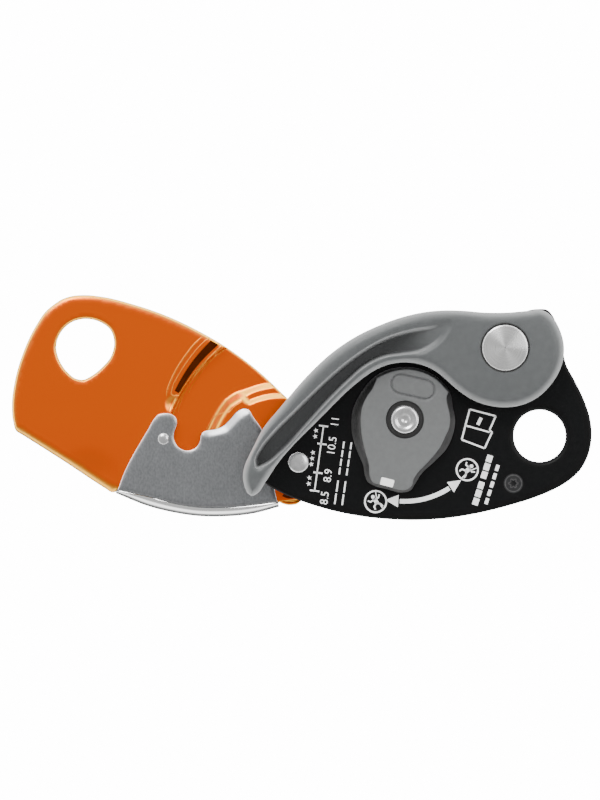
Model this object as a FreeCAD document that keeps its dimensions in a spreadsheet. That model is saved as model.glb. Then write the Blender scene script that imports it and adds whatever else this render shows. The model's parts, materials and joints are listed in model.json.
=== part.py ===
import FreeCAD, Part
import math
import os

import Sketcher
from FreeCAD import Placement, Rotation, Vector

# Rope grab with a cam, laid open. Millimetres, +Z up, both side plates in the XZ plane.
# The origin is the centre of the carabiner hole, half way through the fixed plate.
# Depth runs along Y: the handle and the mode knob are on the -Y side of the fixed plate,
# the rope gap and the moving plate are on the +Y side.

doc = FreeCAD.newDocument("RopeGrab")

# ---------------------------------------------------------------- sizes
SIZES = (
    ("hole_radius", 8.4, "carabiner hole in the fixed plate"),
    ("plate_front", -1.6, "outer face of the fixed plate"),
    ("plate_back", 1.6, "inner face of the fixed plate"),
    ("plate_thick", 3.2, "fixed plate, folded from sheet"),
    ("cam_x", -43.6, "cam axle, also the knob axis"),
    ("cam_z", 5.3, "cam axle"),
    ("pivot_x", -77.9, "moving plate pivot"),
    ("pivot_z", -8.55, "moving plate pivot"),
    ("handle_x", -11.4, "handle axle"),
    ("handle_z", 28.4, "handle axle"),
    ("screw_x", -8.5, "locking screw"),
    ("screw_z", -15.3, "locking screw"),
    ("wear_front", 14.6, "rope side of the wear plate"),
    ("wear_thick", 1.2, "wear plate"),
    ("shell_front", 15.8, "rope side of the moving plate"),
    ("shell_thick", 2.6, "moving plate"),
    ("channel_depth", 3.2, "how far the curved channel is pressed in"),
    ("axle_radius", 4.0, "cam axle"),
    ("neck_radius", 3.6, "neck that the notch of the wear plate closes on"),
    ("knuckle_radius", 5.1, "mushroom end of the cam axle"),
    ("pin_radius", 1.2, "stop pins"),
    ("pivot_radius", 3.0, "pivot rivet"),
    ("spindle_radius", 5.0, "handle axle"),
    ("running_gap", 0.05, "play between a shaft and its bore"),
    ("cam_front", 2.0, "cam, plate side"),
    ("cam_width", 10.6, "cam"),
    ("lever_under", -2.6, "underside of the handle"),
    ("lever_top", -12.2, "outer face of the handle"),
    ("knob_under", -1.8, "underside of the knob skirt"),
    ("skirt_top", -4.3, "where the dark skirt meets the knob face"),
    ("knob_top", -6.5, "outer face of the knob"),
    ("lip_radius", 4.5, "outside of the rolled lip"),
    ("shoe_rivet", 1.5, "shank of the shoe rivets"),
    ("shoe_width", 12.6, "friction shoe, across the rope gap"),
    ("bush_radius", 6.0, "outside of the handle bush"),
    ("screw_shank", 1.75, "locking screw"),
    ("wear_rivet", 1.2, "shank of the wear plate rivets"),
    ("detent_radius", 1.0, "detent ball"),
    ("cam_bore", 5.5, "bore for the cam bush"),
    ("cam_pin_radius", 1.5, "pin that the cam retainer locks"),
    ("pivot_bore", 4.2, "bore for the pivot bush"),
    ("lever_thick", 9.6, "handle"),
    ("head_radius", 7.4, "head of the handle axle"),
    ("seat_radius", 7.9, "seat of the black ring round that head"),
    ("seat_depth", 1.4, "seat of the black ring round that head"),
    ("tail_radius", 4.0, "inner end of the handle axle"),
    ("skirt_thick", 2.5, "knob skirt"),
    ("knob_thick", 2.2, "knob face"),
    ("knob_sink", 6.1, "counterbore round the axle head"),
    ("wire_radius", 0.45, "spring wire"),
)

sheet = doc.addObject("Spreadsheet::Sheet", "Sizes")
for row, (alias, value, note) in enumerate(SIZES, start=1):
    sheet.set("A%d" % row, alias)
    sheet.set("B%d" % row, repr(value))
    sheet.set("C%d" % row, note)
    sheet.setAlias("B%d" % row, alias)
doc.recompute()

VALUE = dict((alias, value) for alias, value, note in SIZES)


def num(term):
    """Value of a plain number, a cell name or a (cell name, offset or cell name) pair."""
    if isinstance(term, str):
        return VALUE[term]
    if isinstance(term, tuple):
        return VALUE[term[0]] + num(term[1])
    return float(term)


def cell(term):
    """Expression for a cell name or a pair of it and an offset, None for a plain number."""
    if isinstance(term, str):
        return "Sizes." + term
    if isinstance(term, tuple):
        return "Sizes.%s + %s" % (term[0], cell(term[1]) or repr(term[1]))
    return None


# ---------------------------------------------------------------- helpers
def new_body(label, x=0.0, z=0.0):
    body = doc.addObject("PartDesign::Body", label)
    body.Label = label
    body.Placement = Placement(Vector(num(x), 0, num(z)), Rotation())
    if cell(x):
        body.setExpression(".Placement.Base.x", cell(x))
    if cell(z):
        body.setExpression(".Placement.Base.z", cell(z))
    return body


def new_sketch(body, name, role):
    plane = [f for f in body.Origin.OriginFeatures if f.Role == role][0]
    sketch = body.newObject("Sketcher::SketchObject", name)
    sketch.AttachmentSupport = (plane, [""])
    sketch.MapMode = "FlatFace"
    return sketch


def flat_sketch(body, name, depth):
    """Sketch parallel to the plates at a depth along Y, drawn as (x, z)."""
    sketch = new_sketch(body, name, "XZ_Plane")
    sketch.AttachmentOffset = Placement(Vector(0, 0, -num(depth)), Rotation())
    if cell(depth):
        sketch.setExpression(".AttachmentOffset.Base.z", "-(%s)" % cell(depth))
    return sketch


def radial_sketch(body, name, bearing):
    """Sketch through the body's Y axis, drawn as (radius, depth), at a bearing in degrees."""
    sketch = new_sketch(body, name, "XY_Plane")
    sketch.AttachmentOffset = Placement(Vector(), Rotation(Vector(0, 1, 0), -bearing))
    return sketch


def joined(sketch, first, count):
    """Tie the ends of neighbouring pieces of a closed outline together."""
    for i in range(count):
        a = first + i
        b = first + (i + 1) % count
        best = None
        for end_a in (1, 2):
            for end_b in (1, 2):
                gap = sketch.getPoint(a, end_a).distanceToPoint(sketch.getPoint(b, end_b))
                if best is None or gap < best[0]:
                    best = (gap, end_a, end_b)
        sketch.addConstraint(Sketcher.Constraint("Coincident", a, best[1], b, best[2]))


def outline(sketch, start, steps, centre=(0.0, 0.0)):
    """Closed outline: each step is (x, z) for a line or (via x, via z, x, z) for an arc.

    The last step ends where the outline starts.
    """
    cx, cz = num(centre[0]), num(centre[1])
    first = sketch.GeometryCount
    here = Vector(start[0] - cx, start[1] - cz, 0)
    for step in steps:
        there = Vector(step[-2] - cx, step[-1] - cz, 0)
        if len(step) == 2:
            sketch.addGeometry(Part.LineSegment(here, there), False)
        else:
            via = Vector(step[0] - cx, step[1] - cz, 0)
            sketch.addGeometry(Part.Arc(here, via, there), False)
        here = there
    joined(sketch, first, sketch.GeometryCount - first)


def circle(sketch, x, z, radius, centre=(0.0, 0.0)):
    cx, cz = num(centre[0]), num(centre[1])
    spot = Vector(num(x) - cx, num(z) - cz, 0)
    i = sketch.addGeometry(Part.Circle(spot, Vector(0, 0, 1), num(radius)), False)
    c = sketch.addConstraint(Sketcher.Constraint("Radius", i, num(radius)))
    if cell(radius):
        sketch.setExpression("Constraints[%d]" % c, cell(radius))


def polygon(sketch, corners):
    """Closed outline of straight lines; each corner is tied to the sheet or to a number."""
    spots = [Vector(num(a), num(b), 0) for a, b in corners]
    count = len(spots)
    first = sketch.GeometryCount
    for i in range(count):
        sketch.addGeometry(Part.LineSegment(spots[i], spots[(i + 1) % count]), False)
    for i in range(count):
        nxt = first + (i + 1) % count
        sketch.addConstraint(Sketcher.Constraint("Coincident", first + i, 2, nxt, 1))
    for i, pair in enumerate(corners):
        for kind, term in zip(("DistanceX", "DistanceY"), pair):
            c = sketch.addConstraint(Sketcher.Constraint(kind, -1, 1, first + i, 1, num(term)))
            if cell(term):
                sketch.setExpression("Constraints[%d]" % c, cell(term))


def raised(body, sketch, length, taper=0.0):
    """Material from the sketch towards +Y."""
    pad = body.newObject("PartDesign::Pad", sketch.Name + "_pad")
    pad.Profile = sketch
    pad.Reversed = True
    pad.Length = num(length)
    pad.TaperAngle = taper
    if cell(length):
        pad.setExpression("Length", cell(length))
    doc.recompute()
    return pad


def sunk(body, sketch, length):
    """Cut from the sketch towards +Y."""
    before = body.Shape.Volume
    cut = body.newObject("PartDesign::Pocket", sketch.Name + "_cut")
    cut.Profile = sketch
    cut.Length = num(length)
    if cell(length):
        cut.setExpression("Length", cell(length))
    doc.recompute()
    if body.Shape.Volume > before - 0.001:
        raise ValueError("nothing was cut by " + cut.Name)
    return cut


def revolved(body, sketch, kind="PartDesign::Revolution", angle=360.0, back=False):
    turn = body.newObject(kind, sketch.Name + "_turn")
    turn.Profile = sketch
    turn.ReferenceAxis = (sketch, ["V_Axis"])
    turn.Angle = angle
    turn.Reversed = back
    doc.recompute()
    return turn


def turned(label, x, z, corners):
    """Round part about a Y axis from its half section, (radius, depth) corners."""
    body = new_body(label, x, z)
    sketch = new_sketch(body, label + "_section", "XY_Plane")
    polygon(sketch, corners)
    revolved(body, sketch)
    return body


def ring(label, x, z, inner, outer, near, far):
    return turned(label, x, z, ((inner, near), (outer, near), (outer, far), (inner, far)))


def at_depth(edge, depth):
    box = edge.BoundBox
    return abs(box.YMin - depth) < 0.01 and abs(box.YMax - depth) < 0.01


def face_rim(feature, depth):
    """Names of the edges round the outside of the biggest flat face at a depth."""
    flats = [f for f in feature.Shape.Faces
             if abs(f.BoundBox.YMin - depth) < 0.01 and abs(f.BoundBox.YMax - depth) < 0.01]
    rim = max(flats, key=lambda f: f.Area).OuterWire.Edges
    return ["Edge%d" % (i + 1) for i, e in enumerate(feature.Shape.Edges)
            if any(e.isSame(r) for r in rim)]


def hole_rim(feature, x, z, depth, reach):
    """Names of the edges at a depth that lie within reach of a hole centre."""
    names = []
    for i, e in enumerate(feature.Shape.Edges):
        box = e.BoundBox
        near = math.hypot(box.Center.x - x, box.Center.z - z) < 0.8 * reach
        small = box.XLength < 2.2 * reach and box.ZLength < 2.2 * reach
        if at_depth(e, depth) and near and small:
            names.append("Edge%d" % (i + 1))
    return names


def softened(body, kind, names, size):
    """Round ("Fillet") or bevel ("Chamfer") the named edges of the tip."""
    base = body.Tip
    soft = body.newObject("PartDesign::" + kind, "%s_%s" % (body.Name, kind.lower()))
    soft.Base = (base, names)
    if kind == "Fillet":
        soft.Radius = size
    else:
        soft.Size = size
    doc.recompute()
    if "Invalid" in soft.State:
        raise ValueError("no %s on %s" % (kind, body.Name))
    return soft


def polar(x, z, radius, bearing):
    """Point at a radius and a bearing in degrees from a centre."""
    a = math.radians(bearing)
    return (num(x) + radius * math.cos(a), num(z) + radius * math.sin(a))


def sector(x, z, inner, outer, low, high):
    """Outline of a piece of a ring between two bearings, as start and steps."""
    mid = (low + high) / 2.0
    steps = (
        polar(x, z, outer, low),
        polar(x, z, outer, mid) + polar(x, z, outer, high),
        polar(x, z, inner, high),
        polar(x, z, inner, mid) + polar(x, z, inner, low),
    )
    return polar(x, z, inner, low), steps


parts = []
PIVOT = ("pivot_x", "pivot_z")

SHOE_RIVETS = (polar("cam_x", "cam_z", 26.2, 130), polar("cam_x", "cam_z", 26.2, 152))
STOP_PIN = polar("handle_x", "handle_z", 13.5, -60)
CAM_PIN = polar("cam_x", "cam_z", 10.6, 290)
DETENT = polar("cam_x", "cam_z", 10.5, 200)

# ---------------------------------------------------------------- fixed side
plate = new_body("fixed_plate")
sk = flat_sketch(plate, "plate_outline", "plate_front")
outline(sk, (-84.9, -17.6), (
    (-41.3, -27.2, 0.0, -19.3),
    (9.9, -14.3, 15.5, -6.9),
    (16.9, 0.0, 14.6, 10.9),
    (11.4, 17.8, 7.3, 23.3),
    (8.6, 31.5, 4.3, 38.2),
    (2.4, 40.2, -0.9, 40.5),
    (-20.0, 38.4),
    (-48.0, 33.2, -67.0, 21.5),
    (-80.3, 6.0, -89.6, -12.0),
    (-88.6, -15.4, -84.9, -17.6),
))
raised(plate, sk, "plate_thick")
sk = flat_sketch(plate, "plate_holes", "plate_front")
circle(sk, 0, 0, "hole_radius")
circle(sk, "cam_x", "cam_z", "axle_radius")
circle(sk, "pivot_x", "pivot_z", "pivot_radius")
circle(sk, "handle_x", "handle_z", "bush_radius")
circle(sk, "screw_x", "screw_z", "screw_shank")
circle(sk, STOP_PIN[0], STOP_PIN[1], "pin_radius")
circle(sk, CAM_PIN[0], CAM_PIN[1], "pin_radius")
for x, z in SHOE_RIVETS:
    circle(sk, x, z, "shoe_rivet")
sunk(plate, sk, "plate_thick")
sk = flat_sketch(plate, "plate_detent_seat", "plate_front")
circle(sk, DETENT[0], DETENT[1], "detent_radius")
sunk(plate, sk, 2.4)
front, back = num("plate_front"), num("plate_back")
names = hole_rim(plate.Tip, num("screw_x"), num("screw_z"), front, num("screw_shank"))
for x, z in SHOE_RIVETS:
    names += hole_rim(plate.Tip, x, z, front, num("shoe_rivet"))
softened(plate, "Chamfer", names, 1.4)
softened(plate, "Fillet", face_rim(plate.Tip, front), 0.8)
softened(plate, "Fillet", face_rim(plate.Tip, back), 0.6)
names = hole_rim(plate.Tip, 0, 0, front, num("hole_radius"))
names += hole_rim(plate.Tip, 0, 0, back, num("hole_radius"))
softened(plate, "Fillet", names, 0.5)
parts.append(plate)

# Friction shoe: a bent steel block that the cam presses the rope against.
shoe = new_body("friction_shoe")
sk = flat_sketch(shoe, "shoe_outline", "plate_back")
start, steps = sector("cam_x", "cam_z", 24.0, 28.6, 121, 161)
outline(sk, start, steps)
raised(shoe, sk, "shoe_width")
sk = flat_sketch(shoe, "shoe_holes", "plate_back")
for x, z in SHOE_RIVETS:
    circle(sk, x, z, "shoe_rivet")
sunk(shoe, sk, "shoe_width")
parts.append(shoe)

# Two countersunk rivets through the plate and the shoe.
pair = []
for n, (x, z) in enumerate(SHOE_RIVETS, start=1):
    pair.append(turned("shoe_rivet_%d" % n, x, z, (
        (0.0, ("plate_front", 0.15)),
        (2.75, ("plate_front", 0.15)),
        ("shoe_rivet", ("plate_front", 1.4)),
        ("shoe_rivet", ("plate_back", "shoe_width")),
        (0.0, ("plate_back", "shoe_width")),
    )))
rivets = doc.addObject("Part::Compound", "shoe_rivets")
rivets.Links = pair
parts.append(rivets)

# Cam axle: domed head outside, shaft, neck and mushroom end that holds the closed plate.
parts.append(turned("cam_axle", "cam_x", "cam_z", (
    (0.0, -7.6),
    (2.9, -7.6),
    (4.2, -7.2),
    (4.7, -6.7),
    (4.7, -6.3),
    ("axle_radius", -6.3),
    ("axle_radius", 13.7),
    ("neck_radius", 13.7),
    ("neck_radius", ("shell_front", 0.3)),
    ("knuckle_radius", ("shell_front", 0.3)),
    ("knuckle_radius", ("shell_front", 1.8)),
    (4.1, ("shell_front", 2.8)),
    (0.0, ("shell_front", 2.8)),
)))
parts.append(ring("axle_washer", "cam_x", "cam_z", "axle_radius", 5.7, -6.3, -5.5))
parts.append(ring("cam_shim", "cam_x", "cam_z", "axle_radius", 6.4, "plate_back", 1.9))
parts.append(ring("cam_retainer", "cam_x", "cam_z", "axle_radius", 6.0, 12.8, 13.6))

# Pivot rivet of the moving plate with its distance sleeve and friction washer.
parts.append(turned("pivot_rivet", "pivot_x", "pivot_z", (
    (0.0, ("plate_front", -1.3)),
    (2.2, ("plate_front", -1.3)),
    (3.1, ("plate_front", -0.9)),
    (3.45, ("plate_front", -0.4)),
    (3.45, "plate_front"),
    ("pivot_radius", "plate_front"),
    ("pivot_radius", 19.0),
    (4.6, 19.0),
    (4.6, 19.7),
    (3.4, 20.5),
    (0.0, 20.5),
)))
parts.append(ring("pivot_sleeve", "pivot_x", "pivot_z", "pivot_radius", 5.2,
                  "plate_back", ("shell_front", -0.05)))
parts.append(ring("friction_washer", "pivot_x", "pivot_z", "pivot_radius", 5.6, 18.45, 19.0))

# Flanged bush for the handle axle.
parts.append(turned("handle_bush", "handle_x", "handle_z", (
    (("spindle_radius", "running_gap"), ("plate_front", -0.7)),
    (7.4, ("plate_front", -0.7)),
    (7.4, "plate_front"),
    ("bush_radius", "plate_front"),
    ("bush_radius", "plate_back"),
    (("spindle_radius", "running_gap"), "plate_back"),
)))

# Locking screw: countersunk head with a six-point socket, and the post it holds.
screw = turned("lock_screw", "screw_x", "screw_z", (
    (0.0, "plate_front"),
    (3.15, "plate_front"),
    ("screw_shank", ("plate_front", 1.4)),
    ("screw_shank", 9.0),
    (0.0, 9.0),
))
sk = flat_sketch(screw, "socket", "plate_front")
points = []
for k in range(6):
    points.append(polar(0, 0, 1.55, 60 * k + 15))
    points.append(polar(0, 0, 1.05, 60 * k + 45))
steps = tuple(points[2 * k + 1] + points[(2 * k + 2) % 12] for k in range(6))
outline(sk, points[0], steps)
sunk(screw, sk, 1.3)
parts.append(screw)
post = ring("stop_post", "screw_x", "screw_z", "screw_shank", 3.8, "plate_back", 15.5)
parts.append(post)

parts.append(turned("handle_stop_pin", STOP_PIN[0], STOP_PIN[1], (
    (0.0, -4.5), ("pin_radius", -4.5), ("pin_radius", "plate_back"), (0.0, "plate_back"))))
parts.append(turned("cam_stop_pin", CAM_PIN[0], CAM_PIN[1], (
    (0.0, ("plate_front", 0.1)), ("pin_radius", ("plate_front", 0.1)),
    ("pin_radius", 4.6), (0.0, 4.6))))

# Detent ball in the fixed plate, under the knob.
ball = doc.addObject("Part::Sphere", "detent_ball")
ball.Label = "detent_ball"
ball.setExpression("Radius", "Sizes.detent_radius")
ball.Placement = Placement(Vector(DETENT[0], num("plate_front") + 0.2, DETENT[1]), Rotation())
ball.setExpression(".Placement.Base.y", "Sizes.plate_front + 0.2")
parts.append(ball)

# ---------------------------------------------------------------- cam
cam = new_body("cam", "cam_x", "cam_z")
sk = flat_sketch(cam, "cam_outline", "cam_front")
outline(sk, polar(0, 0, 13.0, 60), (
    polar(0, 0, 13.4, 100) + polar(0, 0, 14.6, 130),
    polar(0, 0, 15.8, 150) + polar(0, 0, 17.2, 166),
    polar(0, 0, 17.0, 177) + polar(0, 0, 14.6, 186),
    polar(0, 0, 11.8, 225) + polar(0, 0, 13.0, 262),
    polar(0, 0, 13.0, 340) + polar(0, 0, 13.0, 60),
))
raised(cam, sk, "cam_width")
sk = flat_sketch(cam, "cam_bore", "cam_front")
circle(sk, 0, 0, "cam_bore")
sunk(cam, sk, "cam_width")
sk = flat_sketch(cam, "cam_spring_room", "cam_front")
circle(sk, 0, 0, 8.6)
sunk(cam, sk, 3.4)
sk = flat_sketch(cam, "cam_stop_slot", "cam_front")
start, steps = sector(0, 0, 9.0, 12.2, 274, 326)
outline(sk, start, steps)
sunk(cam, sk, 3.0)
sk = flat_sketch(cam, "cam_pin_hole", "cam_front")
pin_spot = polar(0, 0, 9.8, 20)
circle(sk, pin_spot[0], pin_spot[1], "cam_pin_radius")
sunk(cam, sk, "cam_width")
sk = radial_sketch(cam, "cam_rope_groove", 0)
i = sk.addGeometry(Part.Circle(Vector(17.6, 7.3, 0), Vector(0, 0, 1), 5.0), False)
sk.addConstraint(Sketcher.Constraint("Radius", i, 5.0))
revolved(cam, sk, "PartDesign::Groove")
parts.append(cam)

parts.append(ring("cam_bush", "cam_x", "cam_z", ("axle_radius", "running_gap"), "cam_bore",
                  "cam_front", ("cam_front", "cam_width")))
px, pz = polar("cam_x", "cam_z", 9.8, 20)
parts.append(turned("cam_pin", px, pz, (
    (0.0, ("cam_front", 0.2)),
    ("cam_pin_radius", ("cam_front", 0.2)),
    ("cam_pin_radius", 13.6),
    (0.0, 13.6),
)))


def coil(label, x, z, radius, near, turns):
    """Round-wire torsion spring about a Y axis."""
    wire = num("wire_radius")
    body = new_body(label, x, z)
    sketch = new_sketch(body, label + "_wire", "XY_Plane")
    i = sketch.addGeometry(Part.Circle(Vector(radius, near, 0), Vector(0, 0, 1), wire), False)
    sketch.addConstraint(Sketcher.Constraint("Radius", i, wire))
    helix = body.newObject("PartDesign::AdditiveHelix", label + "_coil")
    helix.Profile = sketch
    helix.ReferenceAxis = (sketch, ["V_Axis"])
    helix.Mode = 0
    helix.Pitch = 2.3 * wire
    helix.Height = 2.3 * wire * turns
    doc.recompute()
    return body


parts.append(coil("cam_spring", "cam_x", "cam_z", 7.1, 2.7, 2))

# ---------------------------------------------------------------- moving side
moving = new_body("moving_plate", "pivot_x", "pivot_z")
sk = flat_sketch(moving, "moving_outline", "shell_front")
outline(sk, (-138.2, -17.9), (
    (-166.9, 0.0),
    (-170.1, 2.6, -170.9, 7.0),
    (-170.9, 17.0, -166.0, 30.6),
    (-162.0, 38.0, -155.6, 43.7),
    (-147.1, 45.8, -136.8, 44.1),
    (-110.2, 33.9, -85.2, 15.5),
    polar("pivot_x", "pivot_z", 12.5, 45),
    polar("pivot_x", "pivot_z", 12.5, -20) + polar("pivot_x", "pivot_z", 12.5, 268),
    (-106.0, -23.0, -138.2, -17.9),
), PIVOT)
raised(moving, sk, 5.8)
floor = num("shell_front") + num("channel_depth")
back = num("shell_front") + num("shell_thick")
sk = radial_sketch(moving, "back_relief", 0)
polygon(sk, ((0.0, back), (22.6, back), (27.6, 21.6), (27.6, 22.6), (0.0, 22.6)))
polygon(sk, ((47.4, back), (110.0, back), (110.0, 22.6), (45.4, 22.6), (45.4, 21.6)))
revolved(moving, sk, "PartDesign::Groove")
sk = radial_sketch(moving, "back_end_relief", 183)
polygon(sk, ((20.0, back), (50.0, back), (50.0, 22.6), (20.0, 22.6)))
revolved(moving, sk, "PartDesign::Groove", 250.0, True)
sk = radial_sketch(moving, "channel_section", 179)
polygon(sk, ((23.6, 15.0), (23.6, "shell_front"), (29.4, floor), (42.6, floor), (43.0, 15.0)))
revolved(moving, sk, "PartDesign::Groove", 110.0)
sk = radial_sketch(moving, "step_slot_section", 150)
polygon(sk, ((44.8, 15.0), (46.8, 15.0), (46.8, 17.2), (44.8, 17.2)))
revolved(moving, sk, "PartDesign::Groove", 24.0)
sk = flat_sketch(moving, "moving_eye", "shell_front")
outline(sk, (-143.1, 37.1), (
    (-148.5, 37.8, -153.6, 35.4),
    (-157.0, 30.0, -155.5, 24.4),
    (-153.8, 21.4, -151.6, 19.1),
    (-148.8, 17.8, -146.0, 18.9),
    (-141.3, 22.4, -138.8, 25.8),
    (-137.3, 31.4, -140.2, 35.6),
    (-141.6, 36.6, -143.1, 37.1),
), PIVOT)
circle(sk, "pivot_x", "pivot_z", "pivot_bore", PIVOT)
WEAR_RIVETS = ((-121.7, -1.0), (-90.6, -6.0))
for x, z in WEAR_RIVETS:
    circle(sk, x, z, "wear_rivet", PIVOT)
sunk(moving, sk, 6.0)
parts.append(moving)

parts.append(ring("pivot_bush", "pivot_x", "pivot_z", ("pivot_radius", "running_gap"), "pivot_bore",
                  "shell_front", ("shell_front", "shell_thick")))

# Stainless wear plate with the notch for the axle neck and a lip rolled back over the edge.
LIP_CENTRE = (-105.5, 60.6)
BEND = 84.0
wear = new_body("wear_plate", LIP_CENTRE[0], LIP_CENTRE[1])
sk = flat_sketch(wear, "wear_outline", "wear_front")
low_left = polar(LIP_CENTRE[0], LIP_CENTRE[1], BEND, 248.2)
low_right = polar(LIP_CENTRE[0], LIP_CENTRE[1], BEND, 284.0)
outline(sk, low_left, (
    (-126.4, 2.6),
    (-124.0, 7.0, -119.5, 7.2),
    (-117.0, 5.8, -117.6, 3.0),
    (-118.2, 0.9),
    (-115.2, -4.85, -110.0, -1.9),
    (-109.6, 1.1, -107.3, 1.8),
    (-102.0, 3.4, -97.8, 7.9),
    (-95.4, 9.0, -93.3, 7.4),
    (-89.8, 2.0),
    low_right,
    polar(LIP_CENTRE[0], LIP_CENTRE[1], BEND, 266) + low_left,
), LIP_CENTRE)
raised(wear, sk, "wear_thick")
sk = radial_sketch(wear, "lip_section", 248.2)
near = num("wear_front")
mid = near + num("lip_radius")
bend = math.sqrt(0.5)
outer = num("lip_radius")
inner = outer - num("wear_thick")
spots = (
    Vector(BEND, near, 0),
    Vector(BEND + outer * bend, mid - outer * bend, 0),
    Vector(BEND + outer, mid, 0),
    Vector(BEND + inner, mid, 0),
    Vector(BEND + inner * bend, mid - inner * bend, 0),
    Vector(BEND, mid - inner, 0),
)
sk.addGeometry(Part.Arc(spots[0], spots[1], spots[2]), False)
sk.addGeometry(Part.LineSegment(spots[2], spots[3]), False)
sk.addGeometry(Part.Arc(spots[3], spots[4], spots[5]), False)
sk.addGeometry(Part.LineSegment(spots[5], spots[0]), False)
joined(sk, 0, 4)
revolved(wear, sk, "PartDesign::Revolution", 35.8, True)
sk = flat_sketch(wear, "wear_rivet_holes", "wear_front")
for x, z in WEAR_RIVETS:
    circle(sk, x, z, "wear_rivet", LIP_CENTRE)
sunk(wear, sk, "wear_thick")
parts.append(wear)

pair = []
for n, ((x, z), tail_end) in enumerate(zip(WEAR_RIVETS, (21.6, 18.4)), start=1):
    pair.append(turned("wear_rivet_%d" % n, x, z, (
        (0.0, ("wear_front", -0.5)),
        (1.1, ("wear_front", -0.5)),
        (1.8, ("wear_front", -0.2)),
        (1.8, "wear_front"),
        ("wear_rivet", "wear_front"),
        ("wear_rivet", tail_end),
        (0.0, tail_end),
    )))
rivets = doc.addObject("Part::Compound", "wear_rivets")
rivets.Links = pair
parts.append(rivets)

# ---------------------------------------------------------------- handle
lever = new_body("handle_lever")
sk = flat_sketch(lever, "lever_outline", "lever_top")
outline(sk, (-93.0, -19.3), (
    (-95.3, -17.6, -95.9, -12.0),
    (-94.6, -6.6, -89.5, 2.1),
    (-74.5, 20.2, -52.3, 35.5),
    (-38.5, 39.9, -25.2, 40.4),
    (-18.0, 39.6, -10.7, 39.7),
    (-3.5, 40.3, 0.2, 40.6),
    (3.8, 38.8, 6.3, 34.3),
    (7.7, 31.3, 7.7, 28.4),
    polar("handle_x", "handle_z", 19.1, -45) + polar("handle_x", "handle_z", 19.1, -90),
    (-17.4, 9.6, -22.4, 12.0),
    (-26.2, 14.4, -30.0, 18.2),
    polar("cam_x", "cam_z", 18.5, 90) + polar("cam_x", "cam_z", 18.7, 135),
    (-62.6, 14.0),
    (-78.0, -1.2, -88.5, -14.6),
    (-91.4, -18.8),
    (-92.0, -19.4, -93.0, -19.3),
))
raised(lever, sk, "lever_thick")
names = face_rim(lever.Tip, num("lever_top"))
softened(lever, "Fillet", names, 1.0)
sk = flat_sketch(lever, "lever_groove", "lever_top")
outline(sk, (-31.0, 33.4), (
    (-30.2, 35.7, -33.0, 35.8),
    (-50.5, 31.8, -64.7, 21.9),
    (-80.5, 7.2, -90.4, -4.4),
    (-91.8, -7.4, -91.2, -10.0),
    (-89.6, -10.8, -87.2, -8.2),
    (-76.2, 3.2, -64.4, 15.4),
    (-56.2, 23.4, -46.0, 26.0),
    (-36.0, 26.6, -31.0, 33.4),
))
sunk(lever, sk, 6.0)
sk = flat_sketch(lever, "lever_seat", "lever_top")
circle(sk, "handle_x", "handle_z", "seat_radius")
sunk(lever, sk, "seat_depth")
sk = flat_sketch(lever, "lever_bore", "lever_top")
circle(sk, "handle_x", "handle_z", "spindle_radius")
sunk(lever, sk, 10.0)
sk = flat_sketch(lever, "lever_spring_room", ("lever_under", -3.2))
circle(sk, "handle_x", "handle_z", 10.2)
circle(sk, "handle_x", "handle_z", 5.8)
sunk(lever, sk, 3.3)
sk = flat_sketch(lever, "lever_stop_slot", ("lever_under", -2.4))
start, steps = sector("handle_x", "handle_z", 11.9, 15.1, -68, 53)
outline(sk, start, steps)
sunk(lever, sk, 2.5)
parts.append(lever)

parts.append(turned("handle_axle", "handle_x", "handle_z", (
    (0.0, ("lever_top", -0.4)),
    (7.0, ("lever_top", -0.4)),
    ("head_radius", ("lever_top", -0.1)),
    ("head_radius", ("lever_top", "seat_depth")),
    ("spindle_radius", ("lever_top", "seat_depth")),
    ("spindle_radius", 1.9),
    ("tail_radius", 1.9),
    ("tail_radius", 7.2),
    (0.0, 7.2),
)))
parts.append(ring("handle_ring", "handle_x", "handle_z", "head_radius", "seat_radius",
                  ("lever_top", -0.2), ("lever_top", "seat_depth")))

# Finger inside the plates that lifts the cam when the handle is drawn back.

finger = new_body("release_finger", "handle_x", "handle_z")
sk = flat_sketch(finger, "finger_outline", 2.0)
outline(sk, polar(0, 0, 6.8, 255), (
    polar(0, 0, 6.8, 45) + polar(0, 0, 6.8, 195),
    polar(0, 0, 17.4, 214),
    polar(0, 0, 18.2, 221) + polar(0, 0, 17.4, 228),
    polar(0, 0, 6.8, 255),
))
raised(finger, sk, 3.8)
sk = flat_sketch(finger, "finger_bore", 2.0)
circle(sk, 0, 0, "tail_radius")
sunk(finger, sk, 3.8)
parts.append(finger)
parts.append(ring("finger_clip", "handle_x", "handle_z", "tail_radius", 6.2, 5.8, 6.6))
parts.append(coil("handle_spring", "handle_x", "handle_z", 8.0, -5.2, 2))

# ---------------------------------------------------------------- mode knob
skirt = new_body("knob_skirt")
sk = flat_sketch(skirt, "skirt_outline", "skirt_top")
outline(sk, polar("cam_x", "cam_z", 17.0, 130), (
    polar("cam_x", "cam_z", 17.0, 80) + polar("cam_x", "cam_z", 17.0, 31),
    polar("cam_x", "cam_z", 16.5, 0) + polar("cam_x", "cam_z", 16.4, -36),
    (-34.0, -8.2),
    (-38.6, -12.4),
    (-41.0, -17.8, -45.2, -18.3),
    (-52.6, -16.4),
    (-55.6, -15.6, -56.4, -13.0),
    (-57.1, -9.3),
    (-58.4, -5.6, -60.5, 0.0),
    polar("cam_x", "cam_z", 17.3, 175) + polar("cam_x", "cam_z", 16.8, 153),
    polar("cam_x", "cam_z", 17.0, 142) + polar("cam_x", "cam_z", 17.0, 130),
))
raised(skirt, sk, "skirt_thick")
sk = flat_sketch(skirt, "skirt_bore", "skirt_top")
circle(sk, "cam_x", "cam_z", ("axle_radius", "running_gap"))
sunk(skirt, sk, "skirt_thick")
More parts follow.
